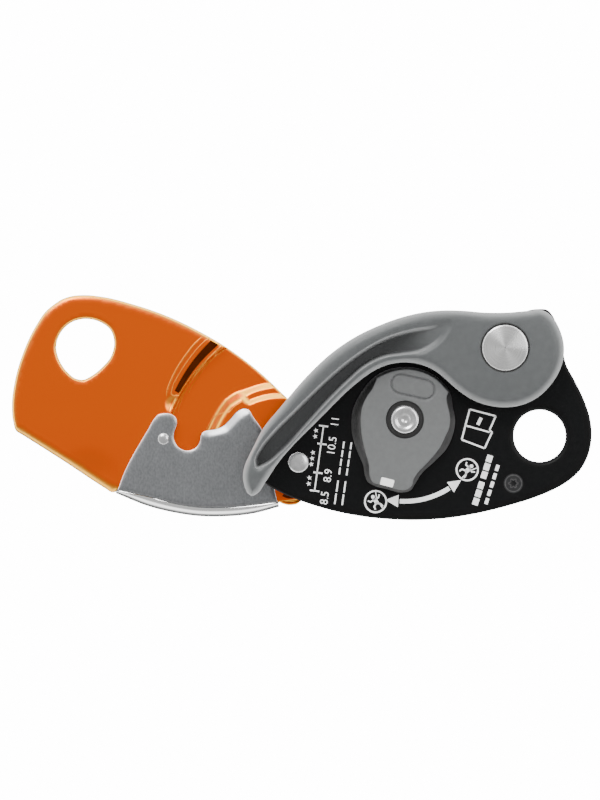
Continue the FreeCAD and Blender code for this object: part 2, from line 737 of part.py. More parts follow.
sk = flat_sketch(skirt, "skirt_detent_track", ("knob_under", -1.2))
circle(sk, "cam_x", "cam_z", 11.9)
circle(sk, "cam_x", "cam_z", 9.1)
sunk(skirt, sk, 1.3)
parts.append(skirt)

knob = new_body("mode_knob")
sk = flat_sketch(knob, "knob_outline", "knob_top")
outline(sk, (-52.6, 18.6), (
    (-40.6, 21.4, -29.6, 14.2),
    (-30.0, 11.0),
    (-29.2, 5.0, -30.3, 0.6),
    (-32.6, -4.6, -36.7, -9.0),
    (-40.2, -12.8),
    (-41.6, -16.4, -44.2, -17.4),
    (-46.0, -17.2),
    (-52.0, -15.5),
    (-54.1, -15.0, -54.9, -13.2),
    (-55.2, -9.3),
    (-56.1, -4.6, -57.4, 0.2),
    (-57.9, 7.6, -55.0, 13.4),
    (-52.6, 18.6),
))
raised(knob, sk, "knob_thick")
softened(knob, "Fillet", face_rim(knob.Tip, num("knob_top")), 0.6)
sk = flat_sketch(knob, "knob_counterbore", "knob_top")
circle(sk, "cam_x", "cam_z", "knob_sink")
sunk(knob, sk, 1.2)
sk = flat_sketch(knob, "knob_bore", "knob_top")
circle(sk, "cam_x", "cam_z", ("axle_radius", "running_gap"))
sunk(knob, sk, "knob_thick")


INDEX_CENTRE = (-49.2, -14.0)
INDEX_HALF = (2.2, 1.25)
INDEX_TILT = math.radians(-14)


def index_shape(sketch):
    """Bar across the end of the pointer."""
    corners = []
    for side, end in ((-1, -1), (1, -1), (1, 1), (-1, 1)):
        dx = side * INDEX_HALF[0]
        dz = end * INDEX_HALF[1]
        corners.append((
            INDEX_CENTRE[0] + dx * math.cos(INDEX_TILT) - dz * math.sin(INDEX_TILT),
            INDEX_CENTRE[1] + dx * math.sin(INDEX_TILT) + dz * math.cos(INDEX_TILT),
        ))
    outline(sketch, corners[0], tuple(corners[1:]) + (corners[0],))


sk = flat_sketch(knob, "index_seat", "knob_top")
index_shape(sk)
sunk(knob, sk, 0.8)
parts.append(knob)
index = new_body("knob_index")
sk = flat_sketch(index, "index_outline", ("knob_top", 0.1))
index_shape(sk)
raised(index, sk, 0.7)
parts.append(index)

# ---------------------------------------------------------------- check and write
doc.recompute()
for obj in doc.Objects:
    if "Invalid" in obj.State or "Error" in obj.State:
        raise ValueError("%s is %s" % (obj.Name, obj.State))
os.makedirs("parts", exist_ok=True)
for part in parts:
    if part.Shape.isNull() or not part.Shape.isValid() or part.Shape.Volume < 0.1:
        raise ValueError("bad shape: " + part.Label)
    part.Shape.exportStep("parts/%s.step" % part.Label)
    print("%-16s %9.1f mm3  %d solid" % (part.Label, part.Shape.Volume, len(part.Shape.Solids)))
print("parts written:", len(parts))
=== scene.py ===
import json
import math

import bpy
import numpy as np
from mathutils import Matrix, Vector
from mathutils.geometry import delaunay_2d_cdt
from mathutils.kdtree import KDTree


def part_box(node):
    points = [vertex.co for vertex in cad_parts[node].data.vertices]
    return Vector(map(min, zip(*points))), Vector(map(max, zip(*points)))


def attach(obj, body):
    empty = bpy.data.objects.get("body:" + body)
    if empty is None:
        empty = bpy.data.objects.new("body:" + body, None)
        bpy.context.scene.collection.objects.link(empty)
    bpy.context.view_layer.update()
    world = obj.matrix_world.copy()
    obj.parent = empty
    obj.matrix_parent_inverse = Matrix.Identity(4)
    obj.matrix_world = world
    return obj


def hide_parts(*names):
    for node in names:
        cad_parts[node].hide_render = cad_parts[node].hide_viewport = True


# Rope grab laid open. Outlines are (x, z) in millimetres in the plane of the side plates,
# depth is y, also in millimetres; meshes are written in metres.

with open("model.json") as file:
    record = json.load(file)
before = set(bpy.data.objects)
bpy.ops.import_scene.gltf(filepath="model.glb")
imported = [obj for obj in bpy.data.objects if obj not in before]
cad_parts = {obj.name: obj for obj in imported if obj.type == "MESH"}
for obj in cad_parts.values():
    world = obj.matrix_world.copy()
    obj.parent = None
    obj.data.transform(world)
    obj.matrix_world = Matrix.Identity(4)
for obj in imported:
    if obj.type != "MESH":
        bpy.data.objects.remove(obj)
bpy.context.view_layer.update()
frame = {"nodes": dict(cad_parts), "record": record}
MM = 0.001


def centre(node):
    low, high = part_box(node)
    return [(low[i] + high[i]) * 500.0 for i in range(3)]


def low_y(node):
    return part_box(node)[0][1] * 1000.0


def high_y(node):
    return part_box(node)[1][1] * 1000.0


CAM = np.array([centre("cam_axle")[0], centre("cam_axle")[2]])
PIVOT = np.array([centre("pivot_rivet")[0], centre("pivot_rivet")[2]])
HINGE = np.array([centre("handle_axle")[0], centre("handle_axle")[2]])


# ---------------------------------------------------------------- outlines
def smooth_loop(points, step=0.8):
    """Closed smooth curve through points; a point with a third value is a corner."""
    spots = [np.array(p[:2], dtype=float) for p in points]
    corner = [len(p) > 2 for p in points]
    count = len(spots)
    chord = [spots[(i + 1) % count] - spots[i] for i in range(count)]
    span = [float(np.hypot(c[0], c[1])) for c in chord]
    out = []
    for i in range(count):
        j = (i + 1) % count
        tangents = []
        for k, own in ((i, i), (j, i)):
            before = (k - 1) % count
            if corner[k]:
                tangents.append(chord[own] / span[own])
            else:
                mix = chord[before] / span[before] * span[k] + chord[k] / span[k] * span[before]
                tangents.append(mix / (span[before] + span[k]))
        n = max(1, int(math.ceil(span[i] / step)))
        for m in range(n):
            t = m / n
            h = (2 * t**3 - 3 * t**2 + 1, t**3 - 2 * t**2 + t,
                 -2 * t**3 + 3 * t**2, t**3 - t**2)
            out.append(h[0] * spots[i] + h[1] * span[i] * tangents[0]
                       + h[2] * spots[j] + h[3] * span[i] * tangents[1])
    return np.array(out)


def ring_loop(middle, radius, step=0.8):
    n = max(24, int(2 * math.pi * radius / step))
    a = np.linspace(0, 2 * math.pi, n, endpoint=False)
    return np.stack([middle[0] + radius * np.cos(a), middle[1] + radius * np.sin(a)], 1)


def distance(points, loop, closed=True):
    """Distance from each point to a chain of segments."""
    a = loop
    b = np.roll(loop, -1, 0)
    if not closed:
        a, b = a[:-1], b[:-1]
    ab = b - a
    length = np.maximum((ab**2).sum(1), 1e-12)
    best = np.full(len(points), 1e9)
    for s in range(0, len(points), 4000):
        p = points[s:s + 4000, None, :]
        t = np.clip(((p - a) * ab).sum(2) / length, 0, 1)
        near = a + t[..., None] * ab
        best[s:s + 4000] = np.sqrt(((p - near)**2).sum(2).min(1))
    return best


def inside(points, loop):
    """True for the points within a closed loop."""
    x, z = points[:, 0], points[:, 1]
    odd = np.zeros(len(points), dtype=bool)
    for (x0, z0), (x1, z1) in zip(loop, np.roll(loop, -1, 0)):
        if z0 == z1:
            continue
        cross = ((z0 > z) != (z1 > z)) & (x < (x1 - x0) * (z - z0) / (z1 - z0) + x0)
        odd ^= cross
    return odd


def signed(points, loop):
    """Distance to a loop, positive inside it."""
    return np.where(inside(points, loop), 1.0, -1.0) * distance(points, loop)


def normals(loop):
    """Unit vector across a closed loop at each of its points."""
    along = np.roll(loop, -1, 0) - np.roll(loop, 1, 0)
    along /= np.maximum(np.hypot(along[:, 0], along[:, 1]), 1e-9)[:, None]
    return np.stack([-along[:, 1], along[:, 0]], 1)


def beside(loop, offsets):
    """Copies of a loop, moved sideways."""
    side = normals(loop)
    return np.concatenate([loop + side * d for d in offsets])


def ramp(v, low, high):
    """Soft step from 0 at low to 1 at high."""
    t = np.clip((v - low) / (high - low), 0, 1)
    return t * t * (3 - 2 * t)


def rounded(d, radius):
    """How far a rounded rim falls back at a distance d inside the edge."""
    if radius <= 0:
        return np.zeros_like(d)
    t = np.clip(radius - d, 0, radius)
    return radius - np.sqrt(np.maximum(radius**2 - t**2, 0))


# ---------------------------------------------------------------- meshes
def sheet_piece(name, loops, rims, front, back, grid=1.0, extra=None):
    """Solid between two depth functions. loops[0] is the outside, the others are holes.

    rims has (front radius, back radius) for each loop.
    """
    steps = (0.04, 0.14, 0.3, 0.52, 0.76, 1.0)
    verts = []
    edges = []
    for loop in loops:
        first = len(verts)
        verts += [tuple(p) for p in loop]
        edges += [(first + i, first + (i + 1) % len(loop)) for i in range(len(loop))]
    fixed = np.array(verts)
    free = []
    for loop, (rf, rb) in zip(loops, rims):
        reach = max(rf, rb)
        for s in steps:
            free.append(beside(loop, (s * reach, -s * reach)))
    if extra is not None:
        free.append(extra)
    lo, hi = loops[0].min(0), loops[0].max(0)
    gx, gz = np.meshgrid(np.arange(lo[0], hi[0], grid), np.arange(lo[1], hi[1], grid * 0.866))
    gx[1::2] += grid / 2
    cloud = np.stack([gx.ravel(), gz.ravel()], 1)
    free = np.concatenate(free)
    tree = KDTree(len(free))
    for i, spot in enumerate(free):
        tree.insert((spot[0], spot[1], 0), i)
    tree.balance()
    gap = np.array([tree.find((spot[0], spot[1], 0))[2] for spot in cloud])
    free = np.concatenate([free, cloud[gap > 0.55 * grid]])
    keep = inside(free, loops[0])
    for k, loop in enumerate(loops):
        if k:
            keep &= ~inside(free, loop)
        keep &= distance(free, loop) > 0.03
    free = free[keep]
    keys = np.round(free / 0.03).astype(int)
    free = free[np.unique(keys, axis=0, return_index=True)[1]]
    everything = [Vector(p) for p in np.concatenate([fixed, free])]
    flat, _, tris, _, _, _ = delaunay_2d_cdt(everything, edges, [], 0, 1e-6, False)
    flat = np.array([tuple(v) for v in flat])
    tris = np.array([t for t in tris if len(t) == 3])
    mid = flat[tris].mean(1)
    keep = inside(mid, loops[0])
    for loop in loops[1:]:
        keep &= ~inside(mid, loop)
    tris = tris[keep]
    used = np.unique(tris)
    index = np.full(len(flat), -1)
    index[used] = np.arange(len(used))
    flat, tris = flat[used], index[tris]
    a, b, c = flat[tris[:, 0]], flat[tris[:, 1]], flat[tris[:, 2]]
    area = (b[:, 0] - a[:, 0]) * (c[:, 1] - a[:, 1]) - (b[:, 1] - a[:, 1]) * (c[:, 0] - a[:, 0])
    tris[area < 0] = tris[area < 0][:, ::-1]
    y_front, y_back = front(flat), back(flat)
    for loop, (rf, rb) in zip(loops, rims):
        d = distance(flat, loop)
        y_front = y_front + rounded(d, rf)
        y_back = y_back - rounded(d, rb)
    n = len(flat)
    co = np.zeros((2 * n, 3))
    co[:n, 0], co[n:, 0] = flat[:, 0], flat[:, 0]
    co[:n, 2], co[n:, 2] = flat[:, 1], flat[:, 1]
    co[:n, 1], co[n:, 1] = y_front, y_back
    faces = [tuple(t) for t in tris] + [(t[2] + n, t[1] + n, t[0] + n) for t in tris]
    seen = set()
    for t in tris:
        for i in range(3):
            seen.add((t[i], t[(i + 1) % 3]))
    faces += [(p, p + n, q + n, q) for p, q in seen if (q, p) not in seen]
    return make(name, co * MM, faces)


def make(name, co, faces, smooth=True):
    """Object from corners in metres and faces."""
    mesh = bpy.data.meshes.new(name)
    mesh.from_pydata([tuple(v) for v in co], [], [tuple(int(i) for i in f) for f in faces])
    mesh.validate()
    mesh.update()
    mesh.polygons.foreach_set("use_smooth", [smooth] * len(mesh.polygons))
    obj = bpy.data.objects.new(name, mesh)
    bpy.context.scene.collection.objects.link(obj)
    return obj


def lathe(name, middle, section, turns=96):
    """Round piece about a Y axis from (radius, depth) corners."""
    co = []
    for k in range(turns):
        a = 2 * math.pi * k / turns
        for r, y in section:
            co.append((middle[0] + r * math.cos(a), y, middle[1] + r * math.sin(a)))
    n = len(section)
    faces = []
    for k in range(turns):
        m = (k + 1) % turns
        for i in range(n - 1):
            faces.append((k * n + i, m * n + i, m * n + i + 1, k * n + i + 1))
    return make(name, np.array(co) * MM, faces)


def sharpen(obj, angle=35):
    """Keep the edges crisp that turn by more than an angle."""
    mod = obj.modifiers.new("edges", "EDGE_SPLIT")
    mod.split_angle = math.radians(angle)
    return obj


# ---------------------------------------------------------------- materials
def material(name, colour, rough, metal=0.0):
    mat = bpy.data.materials.new(name)
    mat.use_nodes = True
    tree = mat.node_tree
    bsdf = tree.nodes["Principled BSDF"]
    bsdf.inputs["Base Color"].default_value = (*colour, 1)
    bsdf.inputs["Roughness"].default_value = rough
    bsdf.inputs["Metallic"].default_value = metal
    return mat, tree, bsdf


def noise(tree, scale, detail=4.0, stretch=(1, 1, 1)):
    coord = tree.nodes.new("ShaderNodeTexCoord")
    place = tree.nodes.new("ShaderNodeMapping")
    place.inputs["Scale"].default_value = stretch
    tree.links.new(coord.outputs["Object"], place.inputs["Vector"])
    tex = tree.nodes.new("ShaderNodeTexNoise")
    tex.inputs["Scale"].default_value = scale
    tex.inputs["Detail"].default_value = detail
    tree.links.new(place.outputs["Vector"], tex.inputs["Vector"])
    return tex


def mottle(tree, bsdf, tex, socket, low, high):
    """Let a shader value wander between two numbers."""
    span = tree.nodes.new("ShaderNodeMapRange")
    span.inputs["From Min"].default_value = 0.3
    span.inputs["From Max"].default_value = 0.7
    span.inputs["To Min"].default_value = low
    span.inputs["To Max"].default_value = high
    tree.links.new(tex.outputs["Fac"], span.inputs["Value"])
    tree.links.new(span.outputs["Result"], bsdf.inputs[socket])


def tint(tree, bsdf, tex, dark, light):
    """Let the base colour wander between two colours."""
    mix = tree.nodes.new("ShaderNodeValToRGB")
    mix.color_ramp.elements[0].position = 0.3
    mix.color_ramp.elements[0].color = (*dark, 1)
    mix.color_ramp.elements[1].position = 0.7
    mix.color_ramp.elements[1].color = (*light, 1)
    tree.links.new(tex.outputs["Fac"], mix.inputs["Fac"])
    tree.links.new(mix.outputs["Color"], bsdf.inputs["Base Color"])


def flatness(tree, low, high):
    """1 where the surface lies flat in the plate's plane, 0 where it turns away."""
    coord = tree.nodes.new("ShaderNodeTexCoord")
    split = tree.nodes.new("ShaderNodeSeparateXYZ")
    tree.links.new(coord.outputs["Normal"], split.inputs["Vector"])
    facing = tree.nodes.new("ShaderNodeMath")
    facing.operation = "ABSOLUTE"
    tree.links.new(split.outputs["Y"], facing.inputs[0])
    span = tree.nodes.new("ShaderNodeMapRange")
    span.inputs["From Min"].default_value = low
    span.inputs["From Max"].default_value = high
    tree.links.new(facing.outputs["Value"], span.inputs["Value"])
    return coord, span


def painted_bend_light(tree, bsdf, tex, face, turned, low, high, foot=None, vary=1.08):
    """Face colour on the flat, another where the sheet bends or its rim is rounded: painted light, a
    painted highlight where the turned colour is paler and painted shade where it is darker.

    foot is (height, height, colour): painted shade, the face colour fades to it between the heights, in
    mm.
    """
    coord, span = flatness(tree, low, high)
    flat = tree.nodes.new("ShaderNodeMix")
    flat.data_type = "RGBA"
    flat.inputs["A"].default_value = (*face, 1)
    flat.inputs["B"].default_value = (*[c * vary for c in face], 1)
    tree.links.new(tex.outputs["Fac"], flat.inputs["Factor"])
    source = flat.outputs["Result"]
    if foot is not None:
        place = tree.nodes.new("ShaderNodeSeparateXYZ")
        tree.links.new(coord.outputs["Object"], place.inputs["Vector"])
        rise = tree.nodes.new("ShaderNodeMapRange")
        rise.inputs["From Min"].default_value = foot[0] * MM
        rise.inputs["From Max"].default_value = foot[1] * MM
        tree.links.new(place.outputs["Z"], rise.inputs["Value"])
        deep = tree.nodes.new("ShaderNodeMix")
        deep.data_type = "RGBA"
        deep.inputs["A"].default_value = (*foot[2], 1)
        tree.links.new(rise.outputs["Result"], deep.inputs["Factor"])
        tree.links.new(source, deep.inputs["B"])
        source = deep.outputs["Result"]
    mix = tree.nodes.new("ShaderNodeMix")
    mix.data_type = "RGBA"
    mix.inputs["A"].default_value = (*turned, 1)
    tree.links.new(source, mix.inputs["B"])
    tree.links.new(span.outputs["Result"], mix.inputs["Factor"])
    tree.links.new(mix.outputs["Result"], bsdf.inputs["Base Color"])


def grain(tree, bsdf, tex, strength, depth=0.00002):
    """Fine bumps, their depth in metres."""
    bump = tree.nodes.new("ShaderNodeBump")
    bump.inputs["Strength"].default_value = strength
    bump.inputs["Distance"].default_value = depth
    tree.links.new(tex.outputs["Fac"], bump.inputs["Height"])
    tree.links.new(bump.outputs["Normal"], bsdf.inputs["Normal"])


def simple(name, dark, light, rough, metal=0.0, scale=900.0, bump=0.25, ior=0.5):
    """Material with a fine grain and a slightly uneven colour and gloss."""
    mat, tree, bsdf = material(name, dark, rough, metal)
    bsdf.inputs["Specular IOR Level"].default_value = ior
    tex = noise(tree, scale, 4.0)
    tint(tree, bsdf, tex, dark, light)
    mottle(tree, bsdf, noise(tree, scale * 0.4), "Roughness", rough * 0.85, rough * 1.15)
    grain(tree, bsdf, tex, bump)
    return mat


black = simple("black_coat", (0.0016, 0.0016, 0.0018), (0.0024, 0.0024, 0.0026), 0.42, 0.0,
               1500, 0.08, ior=0.12)

orange, tree, bsdf = material("orange_anodised", (0.8, 0.12, 0.002), 0.30, 1.0)
weave = noise(tree, 2200, 3.0)
# Painted highlight: pale yellow where the sheet bends or its rim rounds; painted shade: darker red towards
# the bottom.
painted_bend_light(tree, bsdf, weave, (1.0, 0.124, 0.002), (0.92, 0.45, 0.05), 0.86, 0.9985,
          (-40.0, 6.0, (0.86, 0.100, 0.002)))
grain(tree, bsdf, weave, 0.01)

steel, tree, bsdf = material("wear_steel", (0.25, 0.25, 0.26), 0.36, 0.95)
weave = noise(tree, 1700, 6.0, (1, 1, 0.6))
# Painted highlight: near white on the rounded rims of the steel.
painted_bend_light(tree, bsdf, weave, (0.140, 0.144, 0.149), (0.95, 0.95, 0.95), 0.78, 0.985, vary=2.5)
mottle(tree, bsdf, noise(tree, 240, 3.0), "Roughness", 0.30, 0.36)
grain(tree, bsdf, weave, 0.6)
# Painted reflection: the lip is near white where it faces out, and painted shade, dark grey, where it
# curls away.
lip_steel, tree, bsdf = material("lip_painted_reflection", (0.7, 0.7, 0.7), 0.2, 1.0)
weave = noise(tree, 500, 4.0)
painted_bend_light(tree, bsdf, weave, (0.95, 0.95, 0.94), (0.24, 0.24, 0.245), 0.26, 0.68)
grain(tree, bsdf, weave, 0.04)
plain = simple("plain_steel", (0.42, 0.42, 0.43), (0.52, 0.52, 0.53), 0.34, 1.0, 900, 0.3)
bright = simple("bright_steel", (0.6, 0.6, 0.6), (0.72, 0.72, 0.72), 0.24, 1.0, 700, 0.15)
spring = simple("spring_steel", (0.3, 0.3, 0.31), (0.4, 0.4, 0.41), 0.3, 1.0, 800, 0.1)
dark_steel = simple("black_steel", (0.012, 0.012, 0.013), (0.02, 0.02, 0.02), 0.36, 0.4, 900, 0.15)
bronze = simple("bronze", (0.45, 0.27, 0.11), (0.56, 0.36, 0.16), 0.34, 1.0, 700, 0.2)
grey = simple("grey_plastic", (0.055, 0.0585, 0.0593), (0.062, 0.066, 0.0666), 0.42, 0.0,
              420, 0.10, ior=0.4)
# Painted light on the grey of the handle: a painted highlight, paler where its rim turns away, and painted
# shade, darker down in the groove.
tree = grey.node_tree
base = tree.nodes["Principled BSDF"].inputs["Base Color"]
_, tilt = flatness(tree, 0.3, 0.93)
painted_rim_highlight = tree.nodes.new("ShaderNodeMix")
painted_rim_highlight.data_type = "RGBA"
painted_rim_highlight.inputs["A"].default_value = (0.27, 0.276, 0.276, 1)
tree.links.new(tilt.outputs["Result"], painted_rim_highlight.inputs["Factor"])
tree.links.new(base.links[0].from_socket, painted_rim_highlight.inputs["B"])
# Painted shade: darker where the mesh's deep value marks the groove.
deep_at = tree.nodes.new("ShaderNodeAttribute")
deep_at.attribute_name = "deep"
sunk = tree.nodes.new("ShaderNodeMix")
sunk.data_type = "RGBA"
sunk.inputs["B"].default_value = (0.032, 0.034, 0.0345, 1)
tree.links.new(painted_rim_highlight.outputs["Result"], sunk.inputs["A"])
tree.links.new(deep_at.outputs["Fac"], sunk.inputs["Factor"])
tree.links.new(sunk.outputs["Result"], base)
pale_grey = simple("knob_plastic", (0.088, 0.091, 0.091), (0.098, 0.101, 0.101), 0.46, 0.0,
                   600, 0.12, ior=0.4)
soot = simple("black_plastic", (0.004, 0.004, 0.004), (0.007, 0.007, 0.007), 0.42, 0.0, 700, 0.12)
# Painted shade: the knob's sloping side is a darker grey than its face.
skirt_grey = simple("skirt_plastic", (0.018, 0.018, 0.018), (0.024, 0.024, 0.024), 0.45, 0.0, 700, 0.12)
slot_dark = simple("slot_shadow", (0.030, 0.0055, 0.0008), (0.042, 0.0075, 0.001), 0.7, 0.0,
                   300, 0.02, ior=0.0)
# Painted highlight: grey lines on the black screw for its rim and recess edges.
rim_grey = simple("screw_painted_highlight", (0.035, 0.035, 0.036), (0.06, 0.06, 0.061), 0.4, 0.2, 900, 0.1)
white = simple("white_plastic", (0.8, 0.8, 0.78), (0.88, 0.88, 0.86), 0.4, 0.0, 700, 0.05)
ink = simple("white_ink", (0.74, 0.74, 0.74), (0.84, 0.84, 0.84), 0.5, 0.0, 900, 0.05)

# Fine concentric turning marks on the big head of the handle axle.
spun, tree, bsdf = material("spun_steel", (0.66, 0.66, 0.66), 0.26, 1.0)
tangent = tree.nodes.new("ShaderNodeTangent")
tangent.direction_type = "UV_MAP"
tangent.uv_map = "turning"
tree.links.new(tangent.outputs["Tangent"], bsdf.inputs["Tangent"])
bsdf.inputs["Anisotropic"].default_value = 0.85
bsdf.inputs["Anisotropic Rotation"].default_value = 0.25
rings = noise(tree, 1.0, 3.0)
around = tree.nodes.new("ShaderNodeUVMap")
around.uv_map = "turning"
stretched = tree.nodes.new("ShaderNodeMapping")
stretched.inputs["Scale"].default_value = (7.0, 260.0, 1.0)
tree.links.new(around.outputs["UV"], stretched.inputs["Vector"])
tree.links.new(stretched.outputs["Vector"], rings.inputs["Vector"])
tint(tree, bsdf, rings, (0.66, 0.66, 0.65), (0.84, 0.84, 0.83))

SLOT_MATERIAL = {
    "black_coat": black, "orange_anodised": orange, "wear_steel": steel, "plain_steel": plain,
    "bright_steel": bright, "spring_steel": spring, "black_steel": dark_steel, "bronze": bronze,
    "grey_plastic": grey, "knob_plastic": pale_grey, "black_plastic": soot, "white_plastic": white,
}
slot_of = dict((s["node"], s["material_slot"]) for s in frame["record"]["subparts"])
for node, obj in frame["nodes"].items():
    obj.data.materials.clear()
    obj.data.materials.append(SLOT_MATERIAL[slot_of[node]])


def dress(obj, mat, body, slot, *nodes):
    """Give a piece its material, its body and the CAD nodes it stands for; slot is not used."""
    if len(obj.data.materials) == 0:
        obj.data.materials.append(mat)
    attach(obj, body)
    if nodes:
        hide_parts(*nodes)
    return obj


# ---------------------------------------------------------------- moving plate
L0 = low_y("moving_plate")
THICK = 2.6
CHANNEL_DEPTH = 3.2
shell = smooth_loop((
    (-167.7, 0.3), (-169.6, 1.5), (-170.5, 4.2), (-171.0, 10.0), (-170.3, 16.4), (-167.7, 26.0),
    (-162.6, 36.7), (-160.0, 40.4), (-157.4, 42.6), (-154.8, 44.3), (-152.3, 45.2),
    (-147.1, 45.7), (-141.9, 45.2), (-131.6, 42.7), (-121.3, 39.2), (-111.0, 34.4),
    (-100.6, 28.3), (-90.3, 20.5), (-82.6, 13.2), (-76.0, 6.9), (-69.1, 0.3),
    (-66.0, -4.4), (-65.5, -9.6), (-67.6, -15.6), (-72.2, -19.7), (-78.3, -21.0),
    (-84.0, -21.7), (-92.0, -22.3), (-103.2, -22.9), (-118.4, -21.6), (-136.0, -17.9, 1),
    (-138.6, -18.4), (-140.6, -17.2), (-154.0, -8.4),
))
eye = smooth_loop((
    (-147.7, 37.9), (-151.6, 36.8), (-154.9, 33.8), (-156.6, 29.0), (-155.5, 24.4),
    (-152.9, 20.6), (-150.3, 18.6), (-147.8, 18.2), (-145.4, 19.3), (-141.6, 22.3),
    (-138.8, 25.8), (-137.8, 30.5), (-138.9, 34.2), (-142.6, 37.0),
), 0.5)


def polar(points, middle):
    """Radius and bearing in degrees of each point about a centre."""
    d = points - middle
    return np.hypot(d[:, 0], d[:, 1]), np.degrees(np.arctan2(d[:, 1], d[:, 0])) % 360


# The lower left edge rolls back along this line, and the sheet is dished beside it.
ROLLED = np.array([(-169.5, 1.2), (-154.0, -8.4), (-140.4, -17.3), (-136.0, -18.6)])
DISH = (-146.5, -13.0)
DENT = (-118.2, 10.2)
# The pressed channel is bounded by two bends, which spread from where they start above the
# pivot (a bearing in degrees, then the radius there, then millimetres more for each degree).
UPPER_BEND = (109.2, 26.4, 0.107)
LOWER_BEND = (108.8, 22.7, 0.11)
SPREAD_END = 140.0


def roll(p):
    away = distance(p, ROLLED, False)
    dish = np.hypot(p[:, 0] - DISH[0], (p[:, 1] - DISH[1]) * 1.15)
    return 0.8 * (1 - ramp(away, 0.0, 2.2)) ** 1.5 + 0.6 * (1 - ramp(dish, 0.5, 11.5))


def shell_front(p):
    r, phi = polar(p, PIVOT)
    upper = UPPER_BEND[1] + (np.minimum(phi, SPREAD_END) - UPPER_BEND[0]) * UPPER_BEND[2]
    lower = LOWER_BEND[1] + (phi - LOWER_BEND[0]) * LOWER_BEND[2]
    share = 0.45 * (1 - ramp(phi, 128, 133))
    soft = 1.1 + 0.8 * ramp(phi, 122, 134)
    rise = share * ramp(r, lower - 0.9, lower + 0.9)
    rise = rise + (1 - share) * ramp(r, upper - soft, upper + soft)
    low = rise * (1 - ramp(r, 43.7, 44.5)) * (1 - ramp(phi, 175, 181))
    edge = 0.42 * (1 - ramp(distance(p, shell), 0.0, 1.3)) * ramp(r, 44.0, 46.5)
    edge = np.maximum(edge, 0.34 * (1 - ramp(distance(p, eye), 0.0, 0.8)))
    dent = np.hypot(p[:, 0] - DENT[0], (p[:, 1] - DENT[1]) * 0.9)
    pocket = (1 - ramp(dent, 0.4, 3.4)) * ramp(r, 44.2, 45.4)
    return L0 + CHANNEL_DEPTH * low + edge + pocket + roll(p)


def shell_back(p):
    r, phi = polar(p, PIVOT)
    low = ramp(r, 22.6, 27.6) * (1 - ramp(r, 45.4, 47.4)) * (1 - ramp(phi, 180, 183))
    y = L0 + THICK + CHANNEL_DEPTH * low * ((phi > 60) | (r < 20))
    return np.maximum(y, L0 + THICK + 0.75 * roll(p))


# Extra mesh points along the bends and round the dent.
marks = []
rows = (np.arange(20.5, 32.0, 0.4), np.arange(43.3, 45.1, 0.22), np.arange(45.3, 47.7, 0.26))
for radius in np.concatenate(rows):
    a = np.radians(np.arange(80, 184, 0.8))
    marks.append(np.stack([PIVOT[0] + radius * np.cos(a), PIVOT[1] + radius * np.sin(a)], 1))
gx, gz = np.meshgrid(np.arange(-124, -112, 0.45), np.arange(4.5, 18, 0.45))
marks.append(np.stack([gx.ravel(), gz.ravel()], 1))
marks = np.concatenate(marks)
hole = ring_loop(PIVOT, 4.2, 0.6)
plate = sheet_piece("orange_plate", [shell, eye, hole], [(0.8, 0.6), (0.8, 0.6), (0.1, 0.1)],
                    shell_front, shell_back, 1.1, marks)
dress(plate, orange, "moving_side", "orange_anodised", "moving_plate")


def through(points, step=0.4):
    """Open smooth chain through a few points."""
    loop = smooth_loop(((*points[0], 1),) + tuple(points[1:-1]) + ((*points[-1], 1),), step)
    last = int(np.argmin(((loop - np.array(points[-1]))**2).sum(1)))
    return loop[:last + 1]


def spaced(points, n, step=0.4):
    """The same chain as n points at even distances."""
    chain = through(points, step)
    run = np.concatenate([[0], np.cumsum(np.hypot(*np.diff(chain, axis=0).T))])
    at = np.linspace(0, run[-1], n)
    return np.stack([np.interp(at, run, chain[:, 0]), np.interp(at, run, chain[:, 1])], 1)


def bead(name, points, width, height, mat, body, slot, surface, taper=0.15):
    """Low half-round line that lies on a surface, thinner over a share of each end."""
    chain = through(points)
    way = np.gradient(chain, axis=0)
    way /= np.hypot(way[:, 0], way[:, 1])[:, None]
    side = np.stack([-way[:, 1], way[:, 0]], 1)
    full = np.ones(len(chain))
    if taper > 0:
        run = np.linspace(0, 1, len(chain))
        full = np.minimum(ramp(run, 0, taper), ramp(1 - run, 0, taper)) * 0.85 + 0.15
    n, around = len(chain), 8
    co = np.zeros((n, around + 1, 3))
    for m in range(around + 1):
        a = math.pi * m / around
        spot = chain + side * (width / 2 * math.cos(a) * full)[:, None]
        co[:, m, 0], co[:, m, 2] = spot[:, 0], spot[:, 1]
        co[:, m, 1] = surface(chain) + 0.05 - (height + 0.05) * math.sin(a) * full
    faces = []
    for k in range(n - 1):
        for m in range(around):
            a, b = k * (around + 1) + m, (k + 1) * (around + 1) + m
            faces.append((a, b, b + 1, a + 1))
    return dress(make(name, co.reshape(-1, 3) * MM, faces), mat, body, slot)


def strip(name, left, right, mat, body, slot, surface, lift=0.14, n=40):
    """Thin band between two chains, laid on a surface."""
    across = 8
    first, last = spaced(left, n), spaced(right, n)
    rows = [first + (last - first) * t for t in np.linspace(0, 1, across + 1)]
    co = [(p[0], d - lift, p[1]) for row in rows for p, d in zip(row, surface(row))]
    faces = []
    for j in range(across):
        for i in range(n - 1):
            a, b = i + j * n, i + (j + 1) * n
            faces.append((a, a + 1, b + 1, b))
    return dress(make(name, np.array(co) * MM, faces), mat, body, slot)


